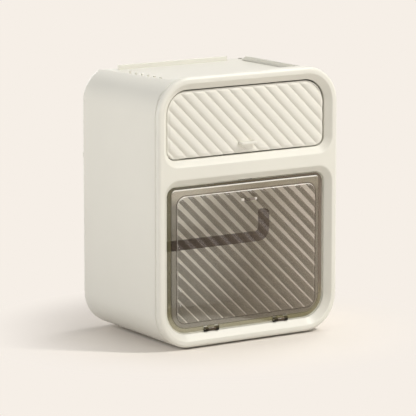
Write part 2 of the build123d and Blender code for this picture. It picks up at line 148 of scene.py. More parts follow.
class TraySizes(PropertyGroup):
    """Top tray with its rails and posts."""
    plate: length("Plate", 2.0 * MM, "Thickness of the tray's floor")
    rail: length("Rail", 1.8 * MM, "Thickness of the low rails and posts")
    back_half: length("Back rail", 54.0 * MM, "Half the length of the back rail")
    back_place: length("Back rail place", 51.0 * MM, "Front of the back rail")
    side_place: length("Side rail place", 66.0 * MM, "Inner face of the right rail")
    side_end: length("Side rail end", 48.0 * MM, "Rear end of the right rail")
    side_slope: length("Side rail slope", 6.0 * MM, "Length of the right rail's sloping end")
    post_count: IntProperty(name="Posts", description="Number of posts on the left", default=6, min=1)
    post_pitch: length("Post pitch", 9.0 * MM, "Distance from post to post")
    post_first: length("First post", -30.0 * MM, "Place of the front post")
    post_rise: length("Post rise", 3.6 * MM, "Height of the posts above the tray's floor")
    edge_round: length("Edge rounding", 0.4 * MM, "Rounding of the tray's edges")


class ReedSizes(PropertyGroup):
    """Slanting reeds on the drawer front and the door."""
    pitch: length("Pitch", 8.1 * MM, "Distance from reed to reed")
    height: length("Height", 1.4 * MM, "Height of a reed's crest")
    slant: angle("Slant", 44.3, "How steeply the reeds run down to the right")
    drawer_shift: length("Drawer shift", -1.9 * MM, "Distance of a valley from the middle of the drawer front")
    door_shift: length("Door shift", -3.9 * MM, "Distance of a valley from the middle of the door")
    fade: length("Fade", 3.2 * MM, "Length over which a reed sinks at its ends")
    end_share: share("End height", 0.35, "Height of a reed at its very end")
    steps: IntProperty(name="Steps", description="Strips across one reed", default=14, min=4)


class DrawerSizes(PropertyGroup):
    """Drawer front."""
    setback: length("Setback", 4.3 * MM, "How far the reeds' crests stand behind the frame's front")
    edge_round: length("Edge rounding", 0.7 * MM, "Rounding of the panel's front edge")
    tab_width: length("Tab width", 16.5 * MM, "Width of the finger tab")
    tab_thick: length("Tab thickness", 2.2 * MM, "Thickness of the finger tab")
    tab_height: length("Tab height", 8.0 * MM, "Middle of the tab above the panel's lower edge")
    tab_corner: length("Tab corner", 2.0 * MM, "Radius of the tab's front corners")


class DoorSizes(PropertyGroup):
    """Smoked door."""
    wall: length("Wall", 2.0 * MM, "Thickness of the door's flange")
    step: length("Step", 4.0 * MM, "Width of the low flange round the border")
    top_step: share("Upper step", 0.54, "Width of the low flange along the top, as a share of the step")
    rise: length("Border rise", 1.6 * MM, "Height of the border above the flange")
    bevel: length("Border bevel", 0.8 * MM, "Bevel of the border's outer edge")
    hollow: length("Hollow", 6.0 * MM, "Width of the full wall round the hollow back")
    field: length("Field inset", 8.4 * MM, "Distance from the door's edge to the reeded field")
    field_top: length("Field top", 7.8 * MM, "Distance from the door's upper edge to the reeded field")
    field_corner: length("Field corner", 8.0 * MM, "Radius of the reeded field's corners")
    field_rise: length("Field rise", 0.4 * MM, "Height of the reeds' valleys above the border")
    field_round: length("Field rounding", 0.8 * MM, "Rounding of the reeded field's edge")
    tab_drop: length("Tab drop", 15.0 * MM, "Middle of the tab below the door's upper edge")
    knuckle_place: length("Knuckle place", 34.0 * MM, "Distance of the hinge knuckles from the middle")
    knuckle_width: length("Knuckle width", 7.0 * MM, "Length of a hinge knuckle")
    knuckle_radius: length("Knuckle radius", 1.8 * MM, "Outer radius of a hinge knuckle")
    bore_radius: length("Bore radius", 0.86 * MM, "Radius of the hole for the hinge pin")
    notch_width: length("Notch width", 7.05 * MM, "Half width of the notch round a knuckle")
    notch_top: length("Notch top", 3.65 * MM, "Height of the notch above the door's lower edge")


class ArmSizes(PropertyGroup):
    """Arm that carries the roll."""
    size: length("Size", 8.0 * MM, "Side of the arm's square section")
    edge_round: length("Edge rounding", 2.2 * MM, "Rounding of the arm's long edges")
    bend: length("Bend", 7.0 * MM, "Radius of the bend at the middle of the arm")
    tip_round: length("Tip rounding", 2.8 * MM, "Rounding of the arm's upper end")
    spigot: length("Spigot", 5.6 * MM, "Side of the spigot that plugs into the socket")
    spigot_length: length("Spigot length", 10.0 * MM, "Length of the spigot")


class Finishes(PropertyGroup):
    """Colours of the materials, and how much light the door stops; many of the door's values are painted light and
    shade.
    """
    shell: tint("Shell", (0.83, 0.812, 0.735), "Ivory of the shell and the frame")
    drawer: tint("Drawer", (0.83, 0.81, 0.74), "Ivory of the drawer")
    inner: tint("Inside", (0.81, 0.79, 0.715), "Ivory of the shelf and the rails")
    smoke: tint("Smoke", (0.068, 0.045, 0.026), "Brown of the smoked door")
    # Painted light: the door's smoke turns paler towards its right side.
    smoke_right_painted_light: tint("Smoke to the right", (0.205, 0.155, 0.113), "Brown of the smoked door at its right side")
    # Partly painted reflection: thinner smoke along each reed lets the inside show, and the strips' pale colour
    # stands in for light on the reeds' flanks.
    strip: tint("Strip", (0.82, 0.69, 0.62), "Clear strip along each reed of the door")
    # Painted light: the border is paler along the top; the dust specks take this colour too.
    pale: tint("Pale border", (0.40, 0.31, 0.22), "Door's border along the top")
    # Painted reflection and shadow: olive at the low flange's foot stands in for the bright sill seen in it, and
    # darkened it is the painted shadow in the gap along the top and the sides.
    olive_reflection_and_shadow: tint("Olive foot", (0.21, 0.175, 0.045), "Door's flange at the foot")
    # Painted highlight: pale lines along the edges of the border and the reeded field.
    line: tint("Edge line", (0.96, 0.94, 0.91), "Pale edges of the door's border and its reeded field")
    smoke_reed: share("Smoke on a reed", 0.64, "Share of the light that the reeds stop")
    smoke_strip: share("Smoke in a strip", 0.15, "Share of the light that the clear strips stop")
    # Painted light: towards the right the strips carry more of their pale colour.
    smoke_strip_right_painted_light: share("Smoke in a right strip", 0.28, "Share of the light that the right strips stop")
    # Painted light: the border lets more through along the top than at the sides.
    smoke_top_painted_light: share("Smoke on top", 0.32, "Share of the light that the border stops along the top")
    smoke_side: share("Smoke at the sides", 0.57, "Share of the light that the border stops elsewhere")
    # Painted shadow: the low flange stops most light above its foot, for the shade in the gap round the door.
    smoke_flange_painted_shadow: share("Smoke on the flange", 0.86, "Share of the light that the low flange stops at the top")
    # Painted reflection: the flange lets more through at its foot, where the sill is seen in it.
    smoke_foot_painted_reflection: share("Smoke at the foot", 0.56, "Share of the light that the low flange stops at the foot")
    smoke_back: share("Smoke on the back", 0.04, "Share of the light that the door's back stops")
    # Painted shade in the creases, at the hinge knuckles and across the tab's front.
    smoke_painted_shade: share("Smoke in a crease", 0.92, "Share of the light that creases and knuckles stop")
    # Painted highlight: the pale edge lines show little of what lies behind them.
    smoke_painted_highlight: share("Smoke on an edge", 0.97, "Share of the light that a pale edge stops")
    # Painted reflection: the strips widen from the field's foot to its top.
    strip_low: share("Strip below", 0.13, "Width of a clear strip at the field's foot, as a share of the pitch")
    strip_high: share("Strip above", 0.555, "Width of a clear strip at the field's top, as a share of the pitch")
    dark: tint("Dark", (0.020, 0.016, 0.013), "Dark plastic of the arm and the hinges")
    # Painted light and shade: the hinge brackets are dark below this paler upper half.
    ear: tint("Hinge ears", (0.082, 0.070, 0.040), "Upper half of the hinge brackets, in front of the door's foot")
    steel: tint("Steel", (0.60, 0.59, 0.57), "Steel of the screws and the pins")
    rubber: tint("Rubber", (0.52, 0.50, 0.45), "Soft feet")


class StageSizes(PropertyGroup):
    """Camera, lamps and floor."""
    yaw: angle("Yaw", 34.104, "How far the camera stands to the left of the front")
    rise: angle("Rise", 9.558, "How far the camera stands above the level")
    distance: length("Distance", 2.6246, "From the camera to the middle of the box")
    middle: length("Middle", 110.0 * MM, "Height of the middle of the box")
    aim: length("Aim", 101.3 * MM, "Height that the camera looks at")
    lens: FloatProperty(name="Lens", description="Focal length", default=276.64, subtype="DISTANCE_CAMERA",
                        unit="CAMERA")
    floor: tint("Floor", (0.922, 0.863, 0.799), "Colour of the floor and the backdrop")
    floor_radius: length("Floor radius", 9.0, "Radius of the floor")
    shadow_near: length("Shadow near", 90.0 * MM, "Where the floor's shadow starts to fade")
    shadow_far: length("Shadow far", 195.0 * MM, "Where the floor's shadow has faded out")
    bounce: share("Floor bounce", 0.66, "How much of the floor's colour lights the box from below")
    sky: level("Sky", 0.18, "Strength of the light from all round, at the level")
    zenith: level("Zenith", 0.26, "Strength of the light from straight above")
    warm: tint("Warm light", (1.0, 0.98, 0.93), "Colour of the key lamp and the front lamp")
    cool: tint("Plain light", (1.0, 1.0, 1.0), "Colour of the other lamps")
    key: level("Key lamp", 15.8, "Power of the lamp above the right front")
    top: level("Top lamp", 6.4, "Power of the soft lamp overhead")
    front: level("Front lamp", 9.6, "Power of the wide lamp in front")
    fill: level("Fill lamp", 1.30, "Power of the lamp to the left")
    rear: level("Rear lamp", 6.0, "Power of the lamp behind the box")


class RollBoxSettings(PropertyGroup):
    """All that can be set."""
    frame: pointer(FrameSizes, "Front frame", "Sizes of the front frame")
    shell: pointer(ShellSizes, "Shell", "Sizes of the body shell")
    tray: pointer(TraySizes, "Top tray", "Sizes of the top tray")
    reeds: pointer(ReedSizes, "Reeds", "Sizes of the reeds")
    drawer: pointer(DrawerSizes, "Drawer front", "Sizes of the drawer front")
    door: pointer(DoorSizes, "Door", "Sizes of the door")
    arm: pointer(ArmSizes, "Arm", "Sizes of the roll arm")
    finish: pointer(Finishes, "Finishes", "Colours of the materials")
    stage: pointer(StageSizes, "Stage", "Camera, lamps and floor")


# Outlines and meshes

Shape = namedtuple("Shape", "half low high r_low r_high")


def widened(shape, by):
    """The outline moved outwards by a distance, or inwards by a negative one."""
    return Shape(shape.half + by, shape.low - by, shape.high + by, shape.r_low + by, shape.r_high + by)


def points_round(shape, steps=CORNER_STEPS):
    """Points round an outline, as pairs across and up."""
    arcs = ((shape.half - shape.r_low, shape.low + shape.r_low, shape.r_low, -90.0),
            (shape.half - shape.r_high, shape.high - shape.r_high, shape.r_high, 0.0),
            (shape.r_high - shape.half, shape.high - shape.r_high, shape.r_high, 90.0),
            (shape.r_low - shape.half, shape.low + shape.r_low, shape.r_low, 180.0))
    points = []
    for across, up, radius, start in arcs:
        for step in range(steps + 1):
            turn = math.radians(start + 90.0 * step / steps)
            points.append((across + radius * math.cos(turn), up + radius * math.sin(turn)))
    return points


def quarter(steps):
    """Turns from nothing to a right angle."""
    return [math.radians(90.0 * step / steps) for step in range(steps + 1)]


def circle(radius):
    """Points round a circle, as pairs."""
    turns = [math.radians(360.0 * step / ROUND_STEPS) for step in range(ROUND_STEPS)]
    return [(radius * math.cos(turn), radius * math.sin(turn)) for turn in turns]


def upright_ring(shape, y):
    """An outline that faces the front, at one depth."""
    return [Vector((across, y, up)) for across, up in points_round(shape)]


def level_ring(shape, z, steps=FINE_STEPS):
    """An outline that lies flat, at one height."""
    return [Vector((across, away, z)) for across, away in points_round(shape, steps)]


def turned(corners, steps=EDGE_STEPS):
    """A line through corners (offset, depth, radius), with each inner corner rounded."""
    places = [Vector(corner[:2]) for corner in corners]
    line = [places[0]]
    for before, here, after, corner in zip(places, places[1:], places[2:], corners[1:]):
        radius = corner[2]
        into = (here - before).normalized()
        onward = (after - here).normalized()
        turn = into.angle_signed(onward)
        if radius == 0.0 or abs(turn) < STRAIGHT:
            line.append(here)
            continue
        side = -math.copysign(1.0, turn)
        inward = Vector((-into.y, into.x)) * side
        start = here - into * (radius * math.tan(abs(turn) / 2.0))
        centre = start + inward * radius
        for step in range(steps + 1):
            swing = Matrix.Rotation(side * abs(turn) * step / steps, 2)
            line.append(centre + swing @ (start - centre))
    line.append(places[-1])
    return line


def bridged(bm, near, far):
    """A wall from one ring of vertices to another."""
    for here, there in zip(range(len(near)), [*range(1, len(near)), 0]):
        bm.faces.new((near[here], far[here], far[there], near[there]))


def skinned(bm, rings):
    """Walls from ring to ring; gives back the rings of vertices."""
    laid = [[bm.verts.new(point) for point in ring] for ring in rings]
    for near, far in zip(laid, laid[1:]):
        bridged(bm, near, far)
    return laid


def filled(bm, *loops):
    """A flat face between an outer loop and the loops inside it."""
    edges = []
    for loop in loops:
        edges.extend(bm.edges.get((one, two)) for one, two in zip(loop, loop[1:] + loop[:1]))
    bmesh.ops.triangle_fill(bm, edges=edges, use_beauty=True)


def stacked(rings):
    """A closed mesh of rings with a face at each end."""
    bm = bmesh.new()
    laid = skinned(bm, rings)
    bm.faces.new(laid[0])
    bm.faces.new(laid[-1])
    return bm


def placed(name, data):
    """A new object in the scene."""
    piece = bpy.data.objects.new(name, data)
    bpy.context.scene.collection.objects.link(piece)
    return piece


def made(name, bm):
    """A new object from a finished mesh."""
    bmesh.ops.recalc_face_normals(bm, faces=bm.faces)
    mesh = bpy.data.meshes.new(name)
    bm.to_mesh(mesh)
    bm.free()
    return placed(name, mesh)


def settled(piece):
    """Turns a piece with its modifiers into one plain mesh."""
    seen = piece.evaluated_get(bpy.context.evaluated_depsgraph_get())
    mesh = bpy.data.meshes.new_from_object(seen)
    piece.modifiers.clear()
    piece.data = mesh


def joined(piece, other, operation="UNION"):
    """Adds another mesh to a piece, or cuts it away, and drops it."""
    boolean = piece.modifiers.new("Join", "BOOLEAN")
    boolean.operation = operation
    boolean.solver = "EXACT"
    boolean.object = other
    settled(piece)
    bpy.data.objects.remove(other)
    if not piece.data.polygons:
        raise RuntimeError("joining left no faces on " + piece.name)


def softened(piece, width):
    """Rounds the sharp edges of a piece."""
    bevel = piece.modifiers.new("Edges", "BEVEL")
    bevel.width = width
    bevel.segments = 2
    bevel.limit_method = "ANGLE"
    bevel.angle_limit = math.radians(40.0)
    settled(piece)


def handed_over(piece, material, body, slot, *nodes):
    """Smooths a piece, gives it its finish and lets it stand for its CAD nodes."""
    mesh = piece.data
    mesh.polygons.foreach_set("use_smooth", [True] * len(mesh.polygons))
    mesh.polygons.foreach_set("material_index", [0] * len(mesh.polygons))
    mesh.set_sharp_from_angle(angle=SHARP)
    normals = piece.modifiers.new("Normals", "WEIGHTED_NORMAL")
    normals.keep_sharp = True
    settled(piece)
    piece.data.materials.clear()
    piece.data.materials.append(material)
    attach(piece, body)
    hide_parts(*nodes)


def brick(low, high, round_edge=0.0, lean=0.0):
    """A rounded bar; lean moves its upper rear edge forward."""
    bm = bmesh.new()
    bmesh.ops.create_cube(bm, size=1.0)
    for vert in bm.verts:
        vert.co = Vector((low[i] if vert.co[i] < 0.0 else high[i] for i in range(3)))
    if lean:
        for vert in bm.verts:
            if vert.co.z > low[2] + TINY and vert.co.y > low[1] + TINY:
                vert.co.y -= lean
    if round_edge:
        bmesh.ops.bevel(bm, geom=bm.edges[:], offset=round_edge, segments=3, profile=0.5, affect="EDGES")
    return bm


def cut(piece, low, high):
    """Cuts a plain block out of a piece."""
    joined(piece, made("cut", brick(low, high)), "DIFFERENCE")


def merged(target, source):
    """Adds one mesh in the making to another."""
    mesh = bpy.data.meshes.new("part")
    source.to_mesh(mesh)
    source.free()
    target.from_mesh(mesh)
    bpy.data.meshes.remove(mesh)


# Node trees

class Wire:
    """A socket in a node tree; sums on wires add Math nodes."""

    def __init__(self, tree, socket=None):
        self.tree = tree
        self.socket = socket

    def add(self, kind, settings=None, inputs=None, output=0):
        """A new node: its settings, then the values or links of its sockets."""
        node = self.tree.nodes.new(kind)
        for name, value in (settings or {}).items():
            if name == "stops":
                ramp = node.color_ramp.elements
                while len(ramp) < len(value):
                    ramp.new(0.5)
                for stop, (place, grey) in zip(ramp, value):
                    stop.position = place
                    stop.color = (grey, grey, grey, 1.0)
            else:
                setattr(node, name, value)
        for key, value in (inputs or {}).items():
            if isinstance(value, Wire):
                self.tree.links.new(value.socket, node.inputs[key])
            else:
                node.inputs[key].default_value = value
        return Wire(self.tree, node.outputs[output])

    def into(self, socket):
        """Links this wire into a socket."""
        self.tree.links.new(self.socket, socket)

    def math(self, operation, one, two=0.0):
        """One Math node."""
        return self.add("ShaderNodeMath", {"operation": operation}, {0: one, 1: two})

    def most(self, other):
        """The larger of two."""
        return self.math("MAXIMUM", self, other)

    def least(self, other):
        """The smaller of two."""
        return self.math("MINIMUM", self, other)

    def __add__(self, other):
        return self.math("ADD", self, other)

    def __radd__(self, other):
        return self.math("ADD", other, self)

    def __sub__(self, other):
        return self.math("SUBTRACT", self, other)

    def __rsub__(self, other):
        return self.math("SUBTRACT", other, self)

    def __mul__(self, other):
        return self.math("MULTIPLY", self, other)

    def __truediv__(self, other):
        return self.math("DIVIDE", self, other)


def tree_with(name, sockets):
    """A geometry node tree with named inputs, and the wires of those inputs."""
    tree = bpy.data.node_groups.new(name, "GeometryNodeTree")
    for label, kind in sockets.items():
        tree.interface.new_socket(label, in_out="INPUT", socket_type=kind)
    tree.interface.new_socket("Geometry", in_out="OUTPUT", socket_type="NodeSocketGeometry")
    given = tree.nodes.new("NodeGroupInput")
    return tree, {label: Wire(tree, given.outputs[label]) for label in sockets}


def tree_end(wire, geometry, material):
    """Ends a tree in real geometry with its material."""
    real = wire.add("GeometryNodeRealizeInstances", inputs={"Geometry": geometry})
    finished = wire.add("GeometryNodeSetMaterial", inputs={"Geometry": real, "Material": material})
    end = wire.tree.nodes.new("NodeGroupOutput")
    finished.into(end.inputs["Geometry"])


def reed_tree():
    """Raises the marked vertices of a flat panel into slanting reeds."""
    tree, given = tree_with("Reeds", {
        "Geometry": "NodeSocketGeometry", "Pitch": "NodeSocketFloat", "Height": "NodeSocketFloat",
        "Across": "NodeSocketVector", "Middle": "NodeSocketFloat", "Material": "NodeSocketMaterial"})
    wire = Wire(tree)
    pitch, height = given["Pitch"], given["Height"]
    place = wire.add("GeometryNodeInputPosition")
    across = wire.add("ShaderNodeVectorMath", {"operation": "DOT_PRODUCT"}, {0: place, 1: given["Across"]},
                      output="Value")
    count = (across - given["Middle"]) / pitch
    off_crest = (wire.math("FRACT", count) - 0.5) * pitch
    radius = (pitch * pitch / 4.0 + height * height) / (height * 2.0)
    rise = wire.math("SQRT", radius * radius - off_crest * off_crest) - (radius - height)
    marked = wire.add("GeometryNodeInputNamedAttribute", {"data_type": "FLOAT"}, {"Name": "reeded"})
    lift = wire.add("ShaderNodeCombineXYZ", inputs={"Y": 0.0 - rise * marked})
    raised = wire.add("GeometryNodeSetPosition", inputs={"Geometry": given["Geometry"], "Offset": lift})
    tree_end(wire, raised, given["Material"])
    return tree


def row_tree():
    """Stands copies of one object in a straight row."""
    tree, given = tree_with("Row", {
        "Copy": "NodeSocketObject", "Count": "NodeSocketInt", "First": "NodeSocketVector",
        "Step": "NodeSocketVector", "Material": "NodeSocketMaterial"})
    wire = Wire(tree)
    row = wire.add("GeometryNodeMeshLine", {"mode": "OFFSET"},
                   {"Count": given["Count"], "Start Location": given["First"], "Offset": given["Step"]})
    copy = wire.add("GeometryNodeObjectInfo", inputs={"Object": given["Copy"]}, output="Geometry")
    stood = wire.add("GeometryNodeInstanceOnPoints", inputs={"Points": row, "Instance": copy})
    tree_end(wire, stood, given["Material"])
    return tree


def seat_tree():
    """Sets copies of one object on the points of a mesh, all turned one way."""
    tree, given = tree_with("Seats", {
        "Geometry": "NodeSocketGeometry", "Copy": "NodeSocketObject", "Turn": "NodeSocketRotation",
        "Material": "NodeSocketMaterial"})
    wire = Wire(tree)
    copy = wire.add("GeometryNodeObjectInfo", inputs={"Object": given["Copy"]}, output="Geometry")
    seated = wire.add("GeometryNodeInstanceOnPoints",
                      inputs={"Points": given["Geometry"], "Instance": copy, "Rotation": given["Turn"]})
    tree_end(wire, seated, given["Material"])
    return tree


def grown(piece, tree, values):
    """Turns a piece into the plain mesh that a node tree makes of it."""
    nodes = piece.modifiers.new(tree.name, "NODES")
    nodes.node_group = tree
    for item in tree.interface.items_tree:
        if item.item_type == "SOCKET" and item.in_out == "INPUT" and item.name in values:
            nodes[item.identifier] = values[item.name]
    settled(piece)


def points_piece(name, places):
    """An object of bare points."""
    mesh = bpy.data.meshes.new(name)
    mesh.from_pydata([tuple(place) for place in places], [], [])
    return placed(name, mesh)


# Materials

def once(build):
    """Lets a material of one name be made only once."""
    def kept(name, *values):
        return bpy.data.materials.get(name) or build(name, *values)
    return kept


def blank(name):
    """A new material: its shader node, a wire to build on and the wire of the place on the piece."""
    material = bpy.data.materials.new(name)
    material.use_nodes = True
    shader = material.node_tree.nodes["Principled BSDF"]
    wire = Wire(material.node_tree)
    return material, shader, wire, wire.add("ShaderNodeTexCoord", output="Object")


def shade(colour, by=1.0):
    """A colour made lighter or darker."""
    return tuple(min(1.0, part * by) for part in colour) + (1.0,)


def axes(wire, vector, names):
    """The named parts of a vector."""
    return [wire.add("ShaderNodeSeparateXYZ", inputs={"Vector": vector}, output=name) for name in names]


def noise(wire, place, scale, detail=2.0, roughness=0.5):
    """A noise pattern around one half."""
    return wire.add("ShaderNodeTexNoise", inputs={"Vector": place, "Scale": scale, "Detail": detail,
                                                  "Roughness": roughness})


def specks(wire, place, scale, first, last):
    """Sparse spots, where a noise climbs from a first to a last value."""
    return wire.add("ShaderNodeValToRGB", {"stops": ((first, 0.0), (last, 1.0))},
                    {"Fac": noise(wire, place, scale, detail=1.0)})


def ramped(wire, value, low, high, kind="LINEAR"):
    """Climbs from zero to one between two limits of a value."""
    return wire.add("ShaderNodeMapRange", {"interpolation_type": kind},
                    {"Value": value, "From Min": low, "From Max": high})


def eased(wire, value, low, high):
    """Climbs from zero to one between two limits, softly at both."""
    return ramped(wire, value, low, high, "SMOOTHSTEP")


def between(wire, value, low, high, soft):
    """One where a value lies between two limits, with soft ends."""
    return eased(wire, value, low - soft, low + soft) * (1.0 - eased(wire, value, high - soft, high + soft))


def mixed(one, two, factor):
    """A level between two."""
    return one + factor * (two - one)


def blended(wire, factor, one, two):
    """A colour between two."""
    return wire.add("ShaderNodeMix", {"data_type": "RGBA"}, {0: factor, 6: one, 7: two}, output=2)


def bumped(wire, height, distance, strength, shader):
    """Fine relief in the normals."""
    relief = wire.add("ShaderNodeBump", inputs={"Height": height, "Distance": distance, "Strength": strength})
    relief.into(shader.inputs["Normal"])


@once
def ivory_plastic(name, colour, roughness):
    """Satin moulded plastic with a fine eroded grain, faint clouding and a drifting gloss."""
    material, shader, wire, place = blank(name)
    cloud = noise(wire, place, scale=22.0, detail=3.0)
    grain = noise(wire, place, scale=1900.0, roughness=0.6)
    speck = specks(wire, place, 520.0, 0.66, 0.74)
    pale = blended(wire, cloud, shade(colour, 0.972), shade(colour, 1.022))
    blended(wire, speck * 0.10, pale, shade(colour, 0.90)).into(shader.inputs["Base Color"])
    (roughness - 0.06 + cloud * 0.06 + grain * 0.06).into(shader.inputs["Roughness"])
    bumped(wire, grain + cloud * 0.4, 0.012 * MM, 0.5, shader)
    shader.inputs["IOR"].default_value = 1.47
    return material


# The smoked door: what its tints go by. The outlines and depths are those of its form, and the rest is how far
# each tint reaches from them. Most of these tints are painted light and shade: highlights on the edges, pale
# strips on the reeds, a paler top and right side, shade in creases and gaps and the sill's reflection at the foot.
DoorForm = namedtuple("DoorForm", "field rim flange border hollow tip valley notch_near notch_far hinge_top")
DoorMasks = namedtuple("DoorMasks", "clear raised low inside over rise right far_right knuckle shaded line")
STRIP_BLUR = 0.05
# Reach of the painted paler top border, from the field's top
PALE_FROM, PALE_TO = -8.0 * MM, 1.0 * MM
# Height over which the painted sill reflection at the door's foot gives way to the painted gap shadow
OLIVE_REACH = 24.0 * MM
# Where the painted light on the right strips comes in, as shares across the field
FAR_RIGHT_FROM, FAR_RIGHT_TO = 0.60, 0.88
# Reach of the painted shade in the creases round the field and the rim
FIELD_CREASE, RIM_CREASE, CREASE_BLUR = 0.9 * MM, 0.6 * MM, 0.2 * MM
# Width and soft edge of the painted highlight lines
HIGHLIGHT_WIDTH, HIGHLIGHT_BLUR = 0.8 * MM, 0.15 * MM
# Reach of the tab's front, with painted shade across its middle and painted glints at its ends
TAB_FRONT, TAB_BLUR = 0.9 * MM, 0.5 * MM
TAB_SHADOW, TAB_GLINT_FROM, TAB_GLINT_TO = 5.0 * MM, 5.4 * MM, 9.0 * MM


def from_outline(wire, x, z, shape):
    """Distance out of an outline that faces the front, below nothing inside it."""
    middle = (shape.low + shape.high) / 2.0
    upper = wire.math("GREATER_THAN", z, middle)
    radius = shape.r_low + upper * (shape.r_high - shape.r_low)
    across = wire.math("ABSOLUTE", x) - shape.half + radius
    up = wire.math("ABSOLUTE", z - middle) - (shape.high - shape.low) / 2.0 + radius
    far_across, far_up = across.most(0.0), up.most(0.0)
    beyond = wire.math("SQRT", far_across * far_across + far_up * far_up)
    return beyond + across.most(up).least(0.0) - radius


def door_masks(wire, place, finish, reeds, form):
    """Where each tint of the door lies, as wires between zero and one; most of them place painted light and shade.
    """
    field, rim = form.field, form.rim
    x, depth, z = axes(wire, place, "XYZ")
    face_x, face_z = axes(wire, wire.add("ShaderNodeTexCoord", output="Normal"), "XZ")
    aside = wire.math("ABSOLUTE", x)
    to_field = from_outline(wire, x, z, field)
    to_rim = from_outline(wire, x, z, rim)
    across = wire.add("ShaderNodeVectorMath", {"operation": "DOT_PRODUCT"},
                      {0: place, 1: across_reeds(reeds)}, output="Value")
    # Place across the reeds; the clear strips widen towards the top as painted reflection
    count = wire.math("FRACT", (across - form.valley) / reeds.pitch)
    widening = (finish.strip_high - finish.strip_low) / (field.high - field.low)
    strip = count + (z - field.low) * widening + finish.strip_low
    raised = wire.math("LESS_THAN", depth, form.border - 0.2 * MM)
    # Painted light: from zero at the field's left to one at its right
    right = ramped(wire, x, -field.half, field.half)
    # Painted shade on the hinge knuckles, below the hinge's height
    knuckle = (between(wire, aside, form.notch_near, form.notch_far, CREASE_BLUR)
               * wire.math("LESS_THAN", z, form.hinge_top))
    # Painted shade in the creases round the field and the rim
    crease = (between(wire, to_field, 0.0, FIELD_CREASE, CREASE_BLUR) * (1.0 - raised)).most(
        between(wire, to_rim, 0.0, RIM_CREASE, CREASE_BLUR))
    # Painted shade across the middle of the tab's front; painted glints at its ends
    tab = wire.math("LESS_THAN", depth, form.tip + TAB_FRONT)
    tab_shadow = tab * (1.0 - eased(wire, aside, TAB_SHADOW - TAB_BLUR, TAB_SHADOW + TAB_BLUR))
    tab_glint = tab * between(wire, aside, TAB_GLINT_FROM, TAB_GLINT_TO, TAB_BLUR)
    # Painted highlight: pale lines on the edges, strongest where they face up or to the left
    upward = face_z * 1.5
    lit = (upward.most(0.0) + (face_x * -0.4).most(0.0)).least(1.0)
    upmost = wire.math("GREATER_THAN", z, rim.high - HIGHLIGHT_WIDTH)
    line = (between(wire, to_field, -HIGHLIGHT_WIDTH, 0.0, HIGHLIGHT_BLUR) * raised * lit).most(
        between(wire, to_rim, -HIGHLIGHT_WIDTH, 0.0, HIGHLIGHT_BLUR) * upward.most(upmost))
    line = line * wire.math("LESS_THAN", depth, form.flange - 0.4 * MM)
    return DoorMasks(
        clear=eased(wire, strip, 1.0 - STRIP_BLUR, 1.0 + STRIP_BLUR),
        raised=raised,
        low=wire.math("GREATER_THAN", to_rim, 0.0),
        inside=wire.math("GREATER_THAN", depth, form.hollow - 0.1 * MM),
        # painted light along the top of the border
        over=eased(wire, z, field.high + PALE_FROM, field.high + PALE_TO),
        # painted sill reflection at the foot, painted gap shadow above it
        rise=ramped(wire, z, rim.low, rim.low + OLIVE_REACH),
        right=right,
        # painted light on the right strips
        far_right=eased(wire, right, FAR_RIGHT_FROM, FAR_RIGHT_TO),
        knuckle=knuckle,
        # painted shade in creases, at the knuckles and on the tab
        shaded=(crease * 0.75).most(knuckle).most(tab_shadow * 0.7),
        # painted highlights on the edges and painted glints on the tab
        line=line.most(tab_glint * 0.7).least(1.0))


def door_smoke(finish, mask):
    """Share of the light that the door stops, raised for painted shade and painted highlights, lowered for painted
    light.
    """
    # Painted light: the strips show more of their pale colour towards the right.
    strip = mixed(finish.smoke_strip, finish.smoke_strip_right_painted_light, mask.far_right)
    reed = mixed(finish.smoke_reed, strip, mask.clear)
    # Painted light: the border is clearer along the top.
    border = mixed(finish.smoke_side, finish.smoke_top_painted_light, mask.over)
    # Painted reflection at the flange's foot, painted shadow in its gap above.
    flange = mixed(finish.smoke_foot_painted_reflection, finish.smoke_flange_painted_shadow, mask.rise)
    smoke = mixed(mixed(border, flange, mask.low), reed, mask.raised)
    # Painted shade in creases, at the knuckles and on the tab.
    smoke = mixed(smoke, finish.smoke_painted_shade, mask.shaded)
    smoke = mixed(smoke, finish.smoke_back, mask.inside)
    # Painted highlight on the edges.
    return mixed(smoke, finish.smoke_painted_highlight, mask.line)


def door_colour(wire, finish, mask, flow, dust):
    """Colour of the door: smoke, strips, border, flange, creases, dust and pale edges; all but the smoke, its flow
    and the dust is painted light and shade.
    """
    # Painted light: the smoke is paler towards the right.
    deep = blended(wire, mask.right, shade(finish.smoke), shade(finish.smoke_right_painted_light))
    deep = blended(wire, flow * 0.3, deep, shade(finish.smoke, 0.6))
    # Painted reflection: pale strips, darker at the left and paler at the right.
    strip = blended(wire, mask.right, shade(finish.strip, 0.72), shade(finish.strip, 1.22))
    # Painted light: the border is paler along the top.
    border = blended(wire, mask.over, deep, shade(finish.pale))
    # Painted shadow in the gap round the flange, darkest at the left.
    groove = blended(wire, mask.right, shade(finish.olive_reflection_and_shadow, 0.36), shade(finish.smoke_right_painted_light, 0.80))
    # Painted reflection of the sill at the flange's foot.
    flange = blended(wire, mask.rise, shade(finish.olive_reflection_and_shadow), groove)
    colour = blended(wire, mask.raised, blended(wire, mask.low, border, flange),
                     blended(wire, mask.clear, deep, strip))
    # Painted shade in creases, at the knuckles and on the tab.
    colour = blended(wire, mask.shaded, colour, shade(finish.smoke, 0.8))
    colour = blended(wire, dust * 0.02, colour, shade(finish.pale))
    # Painted highlight on the edges.
    return blended(wire, mask.line, colour, shade(finish.line))


